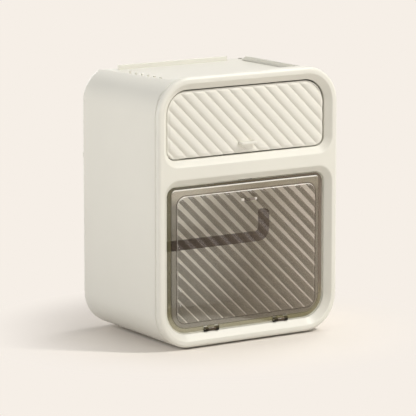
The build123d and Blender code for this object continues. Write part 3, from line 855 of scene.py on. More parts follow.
@once
def smoked_plastic(name, finish, reeds, form):
    """Clear brown plastic: thin smoke in a strip along each reed, pale where an edge catches the light; its colour
    and smoke carry painted light and shade.
    """
    material, shader, wire, place = blank(name)
    stretched = wire.add("ShaderNodeMapping", inputs={"Vector": place, "Scale": (9.0, 9.0, 38.0)})
    flow = noise(wire, stretched, scale=1.6, detail=3.0)
    dust = specks(wire, place, 420.0, 0.70, 0.78)
    mask = door_masks(wire, place, finish, reeds, form)
    door_smoke(finish, mask).into(shader.inputs["Alpha"])
    door_colour(wire, finish, mask, flow, dust).into(shader.inputs["Base Color"])
    (0.05 + flow * 0.04 + dust * 0.12 + mask.knuckle * 0.6).into(shader.inputs["Roughness"])
    bumped(wire, flow, 0.02 * MM, 0.3, shader)
    shader.inputs["IOR"].default_value = 1.5
    return material


@once
def dark_plastic(name, colour):
    """Dark moulded plastic with a satin grain."""
    material, shader, wire, place = blank(name)
    grain = noise(wire, place, scale=1500.0, roughness=0.6)
    cloud = noise(wire, place, scale=45.0)
    blended(wire, cloud, shade(colour, 0.85), shade(colour, 1.20)).into(shader.inputs["Base Color"])
    (0.44 + grain * 0.10 + cloud * 0.08).into(shader.inputs["Roughness"])
    bumped(wire, grain, 0.015 * MM, 0.3, shader)
    shader.inputs["Specular IOR Level"].default_value = 0.1
    return material


@once
def hinge_plastic_painted_light_and_shade(name, colour, upper, height):
    """Dull dark plastic that turns paler above a height; the two tones are painted light and shade."""
    turn = 0.4 * MM
    material, shader, wire, place = blank(name)
    grain = noise(wire, place, scale=1500.0, roughness=0.6)
    z, = axes(wire, place, "Z")
    # Painted light and shade: dark below the height, paler above it
    above = eased(wire, z + grain * (0.2 * MM), height - turn, height + turn)
    blended(wire, above, shade(colour), shade(upper)).into(shader.inputs["Base Color"])
    (0.72 + grain * 0.15).into(shader.inputs["Roughness"])
    bumped(wire, grain, 0.015 * MM, 0.6, shader)
    shader.inputs["Specular IOR Level"].default_value = 0.1
    return material


@once
def brushed_steel(name, colour):
    """Steel with fine turning marks."""
    material, shader, wire, place = blank(name)
    drawn = wire.add("ShaderNodeMapping", inputs={"Vector": place, "Scale": (900.0, 4200.0, 4200.0)})
    marks = noise(wire, drawn, scale=1.0)
    blended(wire, marks, shade(colour, 0.82), shade(colour, 1.10)).into(shader.inputs["Base Color"])
    (0.22 + marks * 0.18).into(shader.inputs["Roughness"])
    bumped(wire, marks, 0.01 * MM, 0.5, shader)
    shader.inputs["Metallic"].default_value = 1.0
    return material


@once
def soft_rubber(name, colour):
    """Dull rubber with a fine pitted skin."""
    material, shader, wire, place = blank(name)
    pits = noise(wire, place, scale=1300.0, detail=3.0, roughness=0.7)
    blended(wire, pits, shade(colour, 0.84), shade(colour, 1.12)).into(shader.inputs["Base Color"])
    (0.72 + pits * 0.2).into(shader.inputs["Roughness"])
    bumped(wire, pits, 0.03 * MM, 0.7, shader)
    return material


def shell_ivory(settings):
    """Finish of the shell, the frame and the top tray."""
    return ivory_plastic("Ivory shell", settings.finish.shell, 0.36)


def drawer_ivory(settings):
    """Finish of the drawer."""
    return ivory_plastic("Ivory drawer", settings.finish.drawer, 0.32)


# Pieces

OUTLINE_STEPS = 40
FADE_PARTS = (0.0, 0.2, 0.42, 0.68, 1.0)
FADE_MOST = 0.45
CORNER_PARTS = (0.004, 0.02, 0.06, 0.13, 0.24, 0.4)
CORNER_SHARE = 0.35
CLOSEST_LINES = 0.012 * MM
FIRST_LINE = 0.005 * MM
# Height above the hinge axis below which the hinge brackets and the door's knuckles are painted dark as shade
HINGE_SHADE_TOP = 0.4 * MM


def openings(sizes):
    """Outlines of the upper and the lower opening, at their inner edges."""
    rim = sizes.bezel + sizes.reveal
    half = FRAME_HIGH.x - rim
    wide = sizes.corner - rim
    upper = Shape(half, DRAWER_LOW.z - sizes.gap, FRAME_HIGH.z - rim, sizes.inner_corner, wide)
    lower = Shape(half, FRAME_LOW.z + rim, DOOR_HIGH.z + sizes.gap, wide, sizes.inner_corner)
    return upper, lower


def box_outline(sizes):
    """Outline of the whole box, seen from the front."""
    return Shape(FRAME_HIGH.x, FRAME_LOW.z, FRAME_HIGH.z, sizes.corner, sizes.corner)


def hinge_axis():
    """A point on the axis of the door's hinges."""
    low, high = corners_of("hinge_pin_left")
    return (low + high) / 2.0


def across_reeds(reeds):
    """Direction across the reeds, to the right and up."""
    return Vector((math.sin(reeds.slant), 0.0, math.cos(reeds.slant)))


def valley_place(opening, reeds, shift):
    """Place across the reeds of one valley, by its distance from the middle of an opening."""
    return across_reeds(reeds).z * ((opening.low + opening.high) / 2.0) + shift


def chords(shape, places, way):
    """Ends of the slanting lines that cross an outline, one pair for each place across them."""
    corners = [(way.x * x + way.z * z, way.z * x - way.x * z) for x, z in points_round(shape, OUTLINE_STEPS)]
    lines = []
    for place in places:
        ends = []
        for (u1, v1), (u2, v2) in zip(corners, corners[1:] + corners[:1]):
            if (u1 - place) * (u2 - place) < 0.0:
                ends.append(v1 + (v2 - v1) * (place - u1) / (u2 - u1))
        lines.append((min(ends), max(ends)))
    return lines


def outward(shape, x, z):
    """Direction out of an outline at a point on it."""
    for edge, radius, up in ((shape.low, shape.r_low, 1.0), (shape.high, shape.r_high, -1.0)):
        centre_x = math.copysign(shape.half - radius, x)
        centre_z = edge + radius * up
        if abs(x) > abs(centre_x) and (z - centre_z) * up < 0.0:
            return Vector((x - centre_x, 0.0, z - centre_z)).normalized()
    gaps = ((shape.half - abs(x), Vector((math.copysign(1.0, x), 0.0, 0.0))),
            (z - shape.low, Vector((0.0, 0.0, -1.0))), (shape.high - z, Vector((0.0, 0.0, 1.0))))
    return min(gaps, key=lambda gap: abs(gap[0]))[1]


def reed_places(shape, valley, reeds):
    """Places of the lines along the reeds, closer together at the two far corners."""
    way = across_reeds(reeds)
    reach = [way.x * x + way.z * z for x, z in points_round(shape, OUTLINE_STEPS)]
    first, last = min(reach), max(reach)
    step = reeds.pitch / reeds.steps
    counts = range(math.ceil((first - valley) / step), math.floor((last - valley) / step) + 1)
    places = [valley + count * step for count in counts]
    for part in CORNER_PARTS:
        places.append(first + part * shape.r_low * CORNER_SHARE)
        places.append(last - part * shape.r_high * CORNER_SHARE)
    places.sort()
    kept = places[:1]
    for place in places[1:]:
        if place - kept[-1] > CLOSEST_LINES:
            kept.append(place)
    return [place for place in kept if first + FIRST_LINE < place < last - FIRST_LINE]


def reed_rows(bm, mark, shape, y, reeds, valley):
    """Rows of vertices along the reeds, still flat, with the height of the reeds marked on them."""
    way = across_reeds(reeds)
    places = reed_places(shape, valley, reeds)
    rows = []
    for place, (first, last) in zip(places, chords(shape, places, way)):
        fade = min(reeds.fade, (last - first) * FADE_MOST)
        stops = []
        for part in FADE_PARTS:
            weight = reeds.end_share + (1.0 - reeds.end_share) * part * part * (3.0 - 2.0 * part)
            stops.append((first + fade * part, weight))
        stops += [(first + last - along, weight) for along, weight in reversed(stops)]
        row = []
        for along, weight in stops:
            vert = bm.verts.new((way.x * place + way.z * along, y, way.z * place - way.x * along))
            vert[mark] = weight
            row.append(vert)
        rows.append(row)
    return rows


def reeded_slab(name, shape, depths, edges, reeds, valley, material):
    """A slab with slanting reeds on its front; depths and edge roundings are those of its front and its back."""
    front, back = depths
    edge, back_edge = edges
    inset = widened(shape, -edge)
    bm = bmesh.new()
    mark = bm.verts.layers.float.new("reeded")
    rows = reed_rows(bm, mark, inset, front, reeds, valley)
    for near, far in zip(rows, rows[1:]):
        for step in range(len(near) - 1):
            bm.faces.new((near[step], near[step + 1], far[step + 1], far[step]))
    rim = [row[0] for row in rows[:-1]] + rows[-1][:-1] + [row[-1] for row in reversed(rows[1:])]
    rim += list(reversed(rows[0][1:]))
    spots = [(vert.co.copy(), outward(inset, vert.co.x, vert.co.z)) for vert in rim]
    profile = [(edge * math.sin(turn), front + edge * (1.0 - math.cos(turn)), reeds.end_share)
               for turn in quarter(EDGE_STEPS)[1:]]
    profile += [(edge, back - back_edge, 0.0), (edge - back_edge, back, 0.0)]
    near = rim
    for out, y, weight in profile:
        far = []
        for spot, way in spots:
            vert = bm.verts.new((spot.x + way.x * out, y, spot.z + way.z * out))
            vert[mark] = weight
            far.append(vert)
        bridged(bm, near, far)
        near = far
    bm.faces.new(near)
    slab = made(name, bm)
    grown(slab, reed_tree(), {"Pitch": reeds.pitch, "Height": reeds.height, "Across": across_reeds(reeds),
                              "Middle": valley, "Material": material})
    return slab


def finger_tab(sizes, middle_z, root, tip):
    """A tab that stands out from a panel, with a rounded front."""
    land, edge = 1.2 * MM, 0.6 * MM
    root_corner, least_corner = 0.5 * MM, 0.3 * MM
    low, high = middle_z - sizes.tab_thick / 2.0, middle_z + sizes.tab_thick / 2.0
    rings = []
    for inset, z in turned(((land, low), (0.0, low, edge), (0.0, high, edge), (land, high))):
        plan = Shape(sizes.tab_width / 2.0 - inset, tip + inset, root,
                     max(sizes.tab_corner - inset, least_corner), root_corner)
        rings.append(level_ring(plan, z))
    return made("finger_tab", stacked(rings))


class ROLLBOX_OT_shell(Operator):
    """Moulds the body shell with its seat, its cavity and the trough in its top"""
    bl_idname = "rollbox.shell"
    bl_label = "Body shell"

    def execute(self, context):
        settings = context.scene.roll_box
        sizes = settings.shell
        box = box_outline(settings.frame)
        front, rear = SHELL_LOW.y, SHELL_HIGH.y
        seat_back = FRAME_HIGH.y
        cavity_rear = rear - sizes.wall
        lean = math.tan(sizes.draft)
        rear_inset = (rear - front) * lean
        seat_inset = sizes.wall + (seat_back - front) * lean
        cavity_inset = sizes.wall + (cavity_rear - front) * lean
        rear_land, seat_edge = 9.0 * MM, 0.3 * MM
        cavity_land, cavity_round = 5.0 * MM, 2.0 * MM
        outer = turned(((rear_inset + rear_land, rear), (rear_inset, rear, sizes.rear_round),
                        (0.0, front, sizes.lip_round), (sizes.seat, front, seat_edge), (sizes.seat, seat_back)),
                       FINE_STEPS)
        inner = turned(((seat_inset, seat_back), (cavity_inset, cavity_rear, cavity_round),
                        (cavity_inset + cavity_land, cavity_rear)))
        ceiling = DECK_LOW.z - sizes.deck_wall
        rings = [upright_ring(widened(box, -inset), y) for inset, y in outer]
        for inset, y in inner:
            ring = upright_ring(widened(box, -inset), y)
            for point in ring:
                point.z = min(point.z, ceiling)
            rings.append(ring)
        shell = made("shell_moulding", stacked(rings))
        self.trough(shell, sizes, seat_back, rear)
        self.ledges(shell, box.half - cavity_inset - sizes.ledge, seat_back, cavity_rear)
        handed_over(shell, shell_ivory(settings), "housing", "ivory_shell", "body_shell")
        return {"FINISHED"}

    def trough(self, shell, sizes, seat_back, rear):
        """Cuts the trough that takes the top tray, open at the rear."""
        past_rear, past_top = 20.0 * MM, 50.0 * MM
        plan = Shape(DECK_HIGH.x + sizes.deck_side, seat_back + sizes.deck_land, rear + past_rear,
                     sizes.deck_corner, sizes.deck_corner)
        rings = [level_ring(plan, DECK_LOW.z), level_ring(plan, DECK_LOW.z + past_top)]
        joined(shell, made("trough", stacked(rings)), "DIFFERENCE")

    def ledges(self, shell, inner_x, seat_back, cavity_rear):
        """Adds the ledges that carry the shelf, rooted in the walls."""
        thick, height = 4.8 * MM, 4.0 * MM
        front_play, root = 0.5 * MM, 1.0 * MM
        for side in (-1.0, 1.0):
            low_x, high_x = sorted((side * inner_x, side * (inner_x + thick)))
            joined(shell, made("ledge", brick((low_x, seat_back + front_play, SHELF_LOW.z - height),
                                              (high_x, cavity_rear + root, SHELF_LOW.z))))


class ROLLBOX_OT_frame(Operator):
    """Moulds the front frame with its rounded rim and the sloping edges of its two openings"""
    bl_idname = "rollbox.frame"
    bl_label = "Front frame"

    def execute(self, context):
        settings = context.scene.roll_box
        sizes = settings.frame
        box = box_outline(sizes)
        front, back = FRAME_LOW.y, FRAME_HIGH.y
        flange_back = front + sizes.flange
        rim_land, flange_round, groove_round = 0.3 * MM, 1.0 * MM, 0.2 * MM
        spigot_round, spigot_land = 0.3 * MM, 0.6 * MM
        face_land, throat_round, back_round, back_land = 1.3 * MM, 0.9 * MM, 0.4 * MM, 0.8 * MM
        bm = bmesh.new()
        outer = turned(((sizes.rim_round + rim_land, front), (0.0, front, sizes.rim_round),
                        (0.0, flange_back, flange_round), (sizes.groove, flange_back, groove_round),
                        (sizes.groove, back, spigot_round), (sizes.groove + spigot_land, back)), FINE_STEPS)
        outside = skinned(bm, [upright_ring(widened(box, -inset), y) for inset, y in outer])
        edge = turned(((sizes.reveal + face_land, front), (sizes.reveal, front, sizes.reveal_round),
                       (0.0, front + sizes.reveal_depth, throat_round), (0.0, back, back_round),
                       (back_land, back)), FINE_STEPS)
        holes = []
        for opening in openings(sizes):
            holes.append(skinned(bm, [upright_ring(widened(opening, grow), y) for grow, y in edge]))
        filled(bm, outside[0], *[hole[0] for hole in holes])
        filled(bm, outside[-1], *[hole[-1] for hole in holes])
        piece = made("frame_moulding", bm)
        handed_over(piece, shell_ivory(settings), "housing", "ivory_shell", "front_frame")
        return {"FINISHED"}


class ROLLBOX_OT_top_tray(Operator):
    """Lays the top tray with its back rail, its side rail and its row of posts"""
    bl_idname = "rollbox.top_tray"
    bl_label = "Top tray"

    def execute(self, context):
        settings = context.scene.roll_box
        sizes = settings.tray
        material = shell_ivory(settings)
        floor = DECK_LOW.z + sizes.plate
        soft = sizes.edge_round
        land, front_corner, small = 0.8 * MM, 1.4 * MM, 0.2 * MM
        rear_play, front_play, sink = 0.7 * MM, 0.1 * MM, 0.3 * MM
        rings = []
        for inset, z in turned(((land, DECK_LOW.z), (0.0, DECK_LOW.z, small), (0.0, floor, soft), (land, floor))):
            plan = Shape(DECK_HIGH.x - inset, DECK_LOW.y + inset, DECK_HIGH.y - rear_play - inset,
                         max(front_corner - inset, small), small)
            rings.append(level_ring(plan, z))
        bm = stacked(rings)
        merged(bm, brick((-sizes.back_half, sizes.back_place, floor - sink),
                         (sizes.back_half, sizes.back_place + sizes.rail, DECK_HIGH.z), soft))
        merged(bm, brick((sizes.side_place, DECK_LOW.y + front_play, floor - sink),
                         (sizes.side_place + sizes.rail, sizes.side_end, DECK_HIGH.z), soft, sizes.side_slope))
        tray = made("top_tray_moulding", bm)
        half = sizes.rail / 2.0
        post = made("post", brick((-half, -half, -sink), (half, half, sizes.post_rise), soft))
        row = points_piece("post_row", [])
        grown(row, row_tree(), {
            "Copy": post, "Count": sizes.post_count, "First": (-sizes.side_place, sizes.post_first, floor),
            "Step": (0.0, sizes.post_pitch, 0.0), "Material": material})
        bm = bmesh.new()
        bm.from_mesh(tray.data)
        bm.from_mesh(row.data)
        bm.to_mesh(tray.data)
        bm.free()
        bpy.data.objects.remove(row)
        bpy.data.objects.remove(post)
        handed_over(tray, material, "housing", "ivory_shell", "top_tray")
        return {"FINISHED"}


class ROLLBOX_OT_drawer_front(Operator):
    """Moulds the drawer front with its slanting reeds and its finger tab"""
    bl_idname = "rollbox.drawer_front"
    bl_label = "Drawer front"

    def execute(self, context):
        settings = context.scene.roll_box
        sizes, reeds = settings.drawer, settings.reeds
        rear_edge, tab_root = 0.4 * MM, 0.8 * MM
        opening = openings(settings.frame)[0]
        shape = widened(opening, -settings.frame.gap)
        front = FRAME_LOW.y + sizes.setback + reeds.height
        material = drawer_ivory(settings)
        panel = reeded_slab("drawer_front_moulding", shape, (front, DRAWER_HIGH.y), (sizes.edge_round, rear_edge),
                            reeds, valley_place(opening, reeds, reeds.drawer_shift), material)
        joined(panel, finger_tab(sizes, DRAWER_LOW.z + sizes.tab_height, front + tab_root, DRAWER_LOW.y))
        handed_over(panel, material, "drawer", "ivory_drawer", "drawer_front")
        return {"FINISHED"}


class ROLLBOX_OT_door(Operator):
    """Moulds the smoked door: stepped border, reeded field, finger tab and hinge knuckles"""
    bl_idname = "rollbox.door"
    bl_label = "Smoked door"

    def execute(self, context):
        settings = context.scene.roll_box
        sizes, reeds = settings.door, settings.reeds
        opening = openings(settings.frame)[1]
        shape = widened(opening, -settings.frame.gap)
        axis = hinge_axis()
        back = DOOR_HIGH.y
        flange = back - sizes.wall
        border = flange - sizes.rise
        hollow = border + sizes.wall
        front = border - sizes.field_rise
        door = self.panel(shape, sizes, back, flange, border, hollow)
        for side in (-1.0, 1.0):
            place = side * sizes.knuckle_place
            self.notches(door, shape, sizes, place, flange, back)
            joined(door, self.knuckle(sizes, place, axis))
        field = Shape(shape.half - sizes.field, shape.low + sizes.field, shape.high - sizes.field_top,
                      sizes.field_corner, sizes.field_corner)
        valley = valley_place(opening, reeds, reeds.door_shift)
        form = DoorForm(
            field=field, rim=self.drawn_in(shape, sizes.step, sizes), flange=flange, border=border, hollow=hollow,
            tip=DOOR_LOW.y, valley=valley, notch_near=sizes.knuckle_place - sizes.notch_width,
            notch_far=sizes.knuckle_place + sizes.notch_width, hinge_top=axis.z + HINGE_SHADE_TOP)
        material = smoked_plastic("Smoked door", settings.finish, reeds, form)
        field_root, field_edge, tab_root = 0.8 * MM, 0.1 * MM, 0.6 * MM
        joined(door, reeded_slab("field", field, (front, border + field_root), (sizes.field_round, field_edge),
                                 reeds, valley, material))
        joined(door, finger_tab(settings.drawer, DOOR_HIGH.z - sizes.tab_drop, front + tab_root, DOOR_LOW.y))
        handed_over(door, material, "door", "smoked_door", "door_panel")
        door.visible_shadow = False
        door.visible_diffuse = False
        return {"FINISHED"}

    def drawn_in(self, shape, inset, sizes):
        """The door's outline drawn in, less along the top."""
        return Shape(shape.half - inset, shape.low + inset, shape.high - inset * sizes.top_step,
                     shape.r_low - inset, shape.r_high - inset)

    def panel(self, shape, sizes, back, flange, border, hollow):
        """The plain door: a hollow back, a low flange and a raised border."""
        bevel = sizes.bevel
        hollow_land, hollow_round, border_land = 1.0 * MM, 0.3 * MM, 0.6 * MM
        back_round, flange_round, step_round, bevel_round = 0.35 * MM, 0.5 * MM, 0.2 * MM, 0.15 * MM
        line = turned(((sizes.hollow + hollow_land, hollow), (sizes.hollow, hollow, hollow_round),
                       (sizes.hollow, back, hollow_round), (0.0, back, back_round), (0.0, flange, flange_round),
                       (sizes.step, flange, step_round), (sizes.step, border + bevel, bevel_round),
                       (sizes.step + bevel, border, bevel_round), (sizes.step + bevel + border_land, border)))
        rings = [upright_ring(self.drawn_in(shape, inset, sizes), y) for inset, y in line]
        return made("door_moulding", stacked(rings))

    def notches(self, door, shape, sizes, place, flange, back):
        """Cuts the notches on both sides of a knuckle, for the ears of its bracket."""
        past_front, past_back = 3.0 * MM, 2.0 * MM
        for way in (-1.0, 1.0):
            low_x, high_x = sorted((place + way * (sizes.knuckle_width / 2.0), place + way * sizes.notch_width))
            cut(door, (low_x, flange - past_front, shape.low - past_front),
                (high_x, back + past_back, shape.low + sizes.notch_top))

    def knuckle(self, sizes, place, axis):
        """A short tube round the hinge axis."""
        half, soft = sizes.knuckle_width / 2.0, 0.25 * MM
        bore, outside = sizes.bore_radius, sizes.knuckle_radius
        rings = []
        for radius, along in ((bore, -half), (outside - soft, -half), (outside, soft - half),
                              (outside, half - soft), (outside - soft, half), (bore, half)):
            rings.append([Vector((place + along, axis.y + away, axis.z + up)) for away, up in circle(radius)])
        bm = bmesh.new()
        laid = skinned(bm, rings)
        bridged(bm, laid[-1], laid[0])
        return made("knuckle", bm)


class ROLLBOX_OT_roll_arm(Operator):
    """Sweeps the bent arm that carries the roll"""
    bl_idname = "rollbox.roll_arm"
    bl_label = "Roll arm"

    def execute(self, context):
        settings = context.scene.roll_box
        sizes = settings.arm
        half = sizes.size / 2.0
        level_z = ARM_LOW.z + half
        middle_y = (ARM_LOW.y + ARM_HIGH.y) / 2.0
        upright_x = ARM_HIGH.x - half
        shoulder = ARM_LOW.x + sizes.spigot_length
        spigot_edge, end_round, least_edge = 0.6 * MM, 0.5 * MM, 0.3 * MM
        shoulder_steps, bend_steps, tip_steps = 4, 12, 6

        def section(x, z, turn, inset, side=sizes.size, edge=sizes.edge_round):
            """One square section across the arm, turned with the bend."""
            reach = side / 2.0 - inset
            radius = max(edge - inset, least_edge)
            up = Vector((-math.sin(turn), 0.0, math.cos(turn)))
            return [Vector((x, middle_y, z)) + Vector((0.0, away, 0.0)) + up * height
                    for away, height in points_round(Shape(reach, -reach, reach, radius, radius), FINE_STEPS)]

        rings = []
        for x, inset in ((ARM_LOW.x, end_round), (ARM_LOW.x + end_round, 0.0), (shoulder, 0.0)):
            rings.append(section(x, level_z, 0.0, inset, sizes.spigot, spigot_edge))
        for turn in quarter(shoulder_steps):
            rings.append(section(shoulder + end_round * (1.0 - math.cos(turn)), level_z, 0.0,
                                 end_round * (1.0 - math.sin(turn))))
        for turn in quarter(bend_steps):
            rings.append(section(upright_x - sizes.bend + sizes.bend * math.sin(turn),
                                 level_z + sizes.bend * (1.0 - math.cos(turn)), turn, 0.0))
        for turn in quarter(tip_steps):
            rings.append(section(upright_x, ARM_HIGH.z - sizes.tip_round * (1.0 - math.sin(turn)), math.pi / 2.0,
                                 sizes.tip_round * (1.0 - math.cos(turn))))
        arm = made("roll_arm_moulding", stacked(rings))
        handed_over(arm, dark_plastic("Dark plastic", settings.finish.dark), "arm", "dark_plastic", "roll_arm")
        return {"FINISHED"}


class ROLLBOX_OT_fittings(Operator):
    """Welds and softens the pieces inside: drawer tray, shelf, rails, hinges, catch and socket"""
    bl_idname = "rollbox.fittings"
    bl_label = "Inner pieces"

    def execute(self, context):
        settings = context.scene.roll_box
        inner = ivory_plastic("Ivory inside", settings.finish.inner, 0.42)
        dark = dark_plastic("Dark plastic", settings.finish.dark)
        steel = brushed_steel("Steel", settings.finish.steel)
        axis = hinge_axis()
        # Hinge brackets painted dark below the hinge axis as shade
        hinge = hinge_plastic_painted_light_and_shade("Hinge plastic", settings.finish.dark, settings.finish.ear, axis.z + HINGE_SHADE_TOP)
        ear_setback, foot_setback, foot_drop = 3.5 * MM, 0.4 * MM, 1.7 * MM
        cuts = ((FRAME_LOW.y + ear_setback, FRAME_HIGH.z), (axis.y + foot_setback, axis.z - foot_drop))
        self.refine("drawer_tray", drawer_ivory(settings), "drawer", "ivory_drawer", edge=0.5 * MM)
        self.refine("mid_shelf", inner, "housing", "ivory_inner", edge=0.3 * MM)
        for side in ("left", "right"):
            self.refine("drawer_rail_" + side, inner, "housing", "ivory_inner", edge=0.3 * MM)
            self.refine("hinge_bracket_" + side, hinge, "housing", "dark_plastic", edge=0.15 * MM, cuts=cuts)
            self.refine("hinge_pin_" + side, steel, "housing", "steel", edge=0.1 * MM)
        self.refine("door_catch", dark, "housing", "dark_plastic", edge=0.12 * MM)
        self.refine("arm_socket", dark, "housing", "dark_plastic", edge=0.3 * MM)
        return {"FINISHED"}

    def refine(self, node, material, body, slot, edge, cuts=()):
        """A welded copy of a CAD node with softened edges.

        Each cut is a depth and a height: what lies in front of that depth and below that height is trimmed off.
        """
        bm = bmesh.new()
        bm.from_mesh(frame["nodes"][node].data)
        bmesh.ops.remove_doubles(bm, verts=bm.verts, dist=0.002 * MM)
        bmesh.ops.dissolve_limit(bm, angle_limit=math.radians(0.5), verts=bm.verts, edges=bm.edges)
        mesh = bpy.data.meshes.new(node + "_moulding")
        bm.to_mesh(mesh)
        bm.free()
        piece = placed(node + "_moulding", mesh)
        low, high = corners_of(node)
        for depth, height in cuts:
            cut(piece, (low.x - MM, low.y - MM, low.z - MM), (high.x + MM, depth, height))
        softened(piece, edge)
        handed_over(piece, material, body, slot, node)


class ROLLBOX_OT_screws(Operator):
    """Sets the cross-headed screws of the drawer and of the arm's socket"""
    bl_idname = "rollbox.screws"
    bl_label = "Screws"

    def execute(self, context):
        settings = context.scene.roll_box
        steel = brushed_steel("Steel", settings.finish.steel)
        tree = seat_tree()
        head = 1.4 * MM
        screw = self.screw()
        low, high = corners_of("drawer_screws")
        radius = (high.z - low.z) / 2.0
        seats = [(x, high.y - head, (low.z + high.z) / 2.0) for x in (low.x + radius, high.x - radius)]
        drawer = points_piece("drawer_screw_set", seats)
        grown(drawer, tree, {"Copy": screw, "Turn": (math.radians(-90.0), 0.0, 0.0), "Material": steel})
        handed_over(drawer, steel, "drawer", "steel", "drawer_screws")
        low, high = corners_of("socket_screws")
        seats = [(high.x - head, (low.y + high.y) / 2.0, z) for z in (low.z + radius, high.z - radius)]
        socket = points_piece("socket_screw_set", seats)
        grown(socket, tree, {"Copy": screw, "Turn": (0.0, math.radians(90.0), 0.0), "Material": steel})
        handed_over(socket, steel, "housing", "steel", "socket_screws")
        bpy.data.objects.remove(screw)
        return {"FINISHED"}

    def screw(self):
        """A pan head with a cross recess, on a short shank, head up; radii and heights in millimetres."""
        profile = ((1.2, -3.0), (1.2, -0.02), (2.15, -0.02), (2.4, 0.2), (2.4, 0.7), (2.25, 1.05), (1.85, 1.28),
                   (1.2, 1.4))
        arm_length, arm_width = 1.25, 0.28
        recess_floor, past_head = 0.6, 2.0
        rings = [[Vector((x, y, z)) * MM for x, y in circle(radius)] for radius, z in profile]
        screw = made("screw", stacked(rings))
        for x, y in ((arm_length, arm_width), (arm_width, arm_length)):
            cut(screw, (-x * MM, -y * MM, recess_floor * MM), (x * MM, y * MM, past_head * MM))
        return screw


class ROLLBOX_OT_feet(Operator):
    """Presses the four soft feet into the shell's floor"""
    bl_idname = "rollbox.feet"
    bl_label = "Feet"

    def execute(self, context):
        settings = context.scene.roll_box
        rubber = soft_rubber("Soft rubber", settings.finish.rubber)
        names = ["foot_" + end + "_" + side for end in ("front", "rear") for side in ("left", "right")]
        spans = [corners_of(name) for name in names]
        seats = [((low.x + high.x) / 2.0, (low.y + high.y) / 2.0, low.z) for low, high in spans]
        low, high = spans[-1]
        foot = self.foot((high.x - low.x) / 2.0, high.z - low.z)
        feet = points_piece("feet_set", seats)
        grown(feet, seat_tree(), {"Copy": foot, "Turn": (0.0, 0.0, 0.0), "Material": rubber})
        bpy.data.objects.remove(foot)
        handed_over(feet, rubber, "housing", "soft_feet", *names)
        return {"FINISHED"}

    def foot(self, half, height):
        """A square pad with cut corners, a rounded lower edge and a shallow hollow underneath."""
        hollow, hollow_edge, land = 0.25 * MM, 0.2 * MM, 3.0 * MM
        hollow_inset, rim_inset, lower_round = 2.2 * MM, 1.8 * MM, 0.7 * MM
        cut_corner, corner_share = 3.0 * MM, 0.586
        rings = []
        for inset, z in turned(((land, hollow), (hollow_inset, hollow, hollow_edge), (rim_inset, 0.0, hollow_edge),
                                (0.0, 0.0, lower_round), (0.0, height))):
            corner = cut_corner - corner_share * inset
            rings.append(level_ring(Shape(half - inset, inset - half, half - inset, corner, corner), z, 1))
        return made("foot", stacked(rings))


def facing(place, aim):
    """The turn of a lamp or a camera that looks from one place at another."""
    return (aim - place).to_track_quat("-Z", "Y").to_euler()


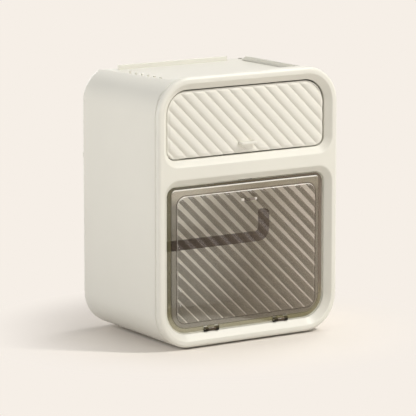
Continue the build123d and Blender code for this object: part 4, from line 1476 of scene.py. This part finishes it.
class ROLLBOX_OT_stage(Operator):
    """Sets the floor, the soft lamps and the camera"""
    bl_idname = "rollbox.stage"
    bl_label = "Stage"

    def execute(self, context):
        scene = context.scene
        sizes = scene.roll_box.stage
        scene.view_settings.view_transform = "Standard"
        self.floor(sizes)
        self.world(scene, sizes)
        lamps = (("Key lamp", (0.76, -0.88, 1.36), (0.0, 0.0, 0.11), (0.12, 0.12), sizes.key, sizes.warm),
                 ("Top lamp", (0.78, 0.20, 1.41), (0.0, 0.0, 0.12), (0.6, 0.6), sizes.top, sizes.cool),
                 ("Front lamp", (0.40, -1.87, 0.20), (0.0, 0.0, 0.10), (1.0, 0.4), sizes.front, sizes.warm),
                 ("Fill lamp", (-0.56, 0.0, 0.27), (-0.087, 0.0, 0.15), (0.3, 0.2), sizes.fill, sizes.cool),
                 ("Rear lamp", (0.5, 1.9, 0.5), (0.0, 0.0, 0.11), (1.0, 0.6), sizes.rear, sizes.cool))
        for name, place, aim, size, power, colour in lamps:
            self.lamp(name, Vector(place), Vector(aim), size, power, colour)
        self.camera(scene, sizes)
        return {"FINISHED"}

    def seen_rays(self, wire):
        """One for rays from the camera, from a mirror or through clear plastic."""
        kinds = ("Is Camera Ray", "Is Glossy Ray", "Is Transmission Ray")
        camera, glossy, clear = [wire.add("ShaderNodeLightPath", output=kind) for kind in kinds]
        return camera.most(glossy).most(clear)

    def floor(self, sizes):
        """A wide pale floor that shows a shadow only close to the box."""
        bm = bmesh.new()
        bmesh.ops.create_circle(bm, cap_ends=True, segments=96, radius=sizes.floor_radius)
        ground = made("Floor", bm)
        material, shader, wire, place = blank("Studio floor")
        colour = shade(sizes.floor)
        plain = wire.add("ShaderNodeBsdfDiffuse", inputs={
            "Color": blended(wire, self.seen_rays(wire), shade(sizes.floor, sizes.bounce), colour)})
        glow = wire.add("ShaderNodeEmission", inputs={"Color": colour, "Strength": 1.0})
        away = wire.add("ShaderNodeVectorMath", {"operation": "LENGTH"}, {0: place}, output="Value")
        even = eased(wire, away, sizes.shadow_near, sizes.shadow_far)
        surface = wire.add("ShaderNodeMixShader", inputs={0: self.seen_rays(wire) * even, 1: plain, 2: glow})
        surface.into(material.node_tree.nodes["Material Output"].inputs["Surface"])
        material.node_tree.nodes.remove(shader)
        ground.data.materials.append(material)

    def world(self, scene, sizes):
        """Even light from all round, with the floor's colour behind the box."""
        world = bpy.data.worlds.new("Studio")
        world.use_nodes = True
        scene.world = world
        wire = Wire(world.node_tree)
        rise, = axes(wire, wire.add("ShaderNodeTexCoord", output="Generated"), "Z")
        strength = mixed(sizes.sky, sizes.zenith, rise.most(0.0))
        light = wire.add("ShaderNodeBackground", inputs={"Color": (1.0, 1.0, 1.0, 1.0), "Strength": strength})
        seen = wire.add("ShaderNodeBackground", inputs={"Color": shade(sizes.floor), "Strength": 1.0})
        surface = wire.add("ShaderNodeMixShader", inputs={0: self.seen_rays(wire), 1: light, 2: seen})
        surface.into(world.node_tree.nodes["World Output"].inputs["Surface"])

    def lamp(self, name, place, aim, size, power, colour):
        """A soft rectangular lamp that the camera doesn't see."""
        data = bpy.data.lights.new(name, "AREA")
        data.shape = "RECTANGLE"
        data.size, data.size_y = size
        data.energy = power
        data.color = colour
        lamp = placed(name, data)
        lamp.location = place
        lamp.rotation_euler = facing(place, aim)
        lamp.visible_camera = False

    def camera(self, scene, sizes):
        """The camera at the photograph's angle."""
        data = bpy.data.cameras.new("Camera")
        data.lens = sizes.lens
        data.sensor_width = 36.0
        data.clip_start = 0.05
        data.clip_end = 60.0
        camera = placed("Camera", data)
        level_part = math.cos(sizes.rise)
        away = Vector((-math.sin(sizes.yaw) * level_part, -math.cos(sizes.yaw) * level_part, math.sin(sizes.rise)))
        camera.location = Vector((0.0, 0.0, sizes.middle)) + away * sizes.distance
        camera.rotation_euler = facing(camera.location, Vector((0.0, 0.0, sizes.aim)))
        scene.camera = camera


class ROLLBOX_PT_panel(Panel):
    """Lists the pieces of the roll box"""
    bl_idname = "ROLLBOX_PT_panel"
    bl_label = "Roll box"
    bl_space_type = "VIEW_3D"
    bl_region_type = "UI"
    bl_category = "Roll box"

    def draw(self, context):
        for operator in OPERATORS:
            self.layout.operator(operator.bl_idname)
        settings = context.scene.roll_box
        for name in RollBoxSettings.__annotations__:
            group = getattr(settings, name)
            box = self.layout.box()
            box.label(text=group.bl_rna.description)
            for key in group.__annotations__:
                box.prop(group, key)


GROUPS = (FrameSizes, ShellSizes, TraySizes, ReedSizes, DrawerSizes, DoorSizes, ArmSizes, Finishes, StageSizes,
          RollBoxSettings)
OPERATORS = (ROLLBOX_OT_shell, ROLLBOX_OT_frame, ROLLBOX_OT_top_tray, ROLLBOX_OT_drawer_front, ROLLBOX_OT_door,
             ROLLBOX_OT_roll_arm, ROLLBOX_OT_fittings, ROLLBOX_OT_screws, ROLLBOX_OT_feet, ROLLBOX_OT_stage)


def register():
    for kind in (*GROUPS, *OPERATORS, ROLLBOX_PT_panel):
        bpy.utils.register_class(kind)
    bpy.types.Scene.roll_box = PointerProperty(type=RollBoxSettings, name="Roll box",
                                               description="Settings of the roll box")


def unregister():
    del bpy.types.Scene.roll_box
    for kind in reversed((*GROUPS, *OPERATORS, ROLLBOX_PT_panel)):
        bpy.utils.unregister_class(kind)


def main():
    register()
    bpy.ops.rollbox.shell()
    bpy.ops.rollbox.frame()
    bpy.ops.rollbox.top_tray()
    bpy.ops.rollbox.drawer_front()
    bpy.ops.rollbox.door()
    bpy.ops.rollbox.roll_arm()
    bpy.ops.rollbox.fittings()
    bpy.ops.rollbox.screws()
    bpy.ops.rollbox.feet()
    bpy.ops.rollbox.stage()


if __name__ == "__main__":
    main()
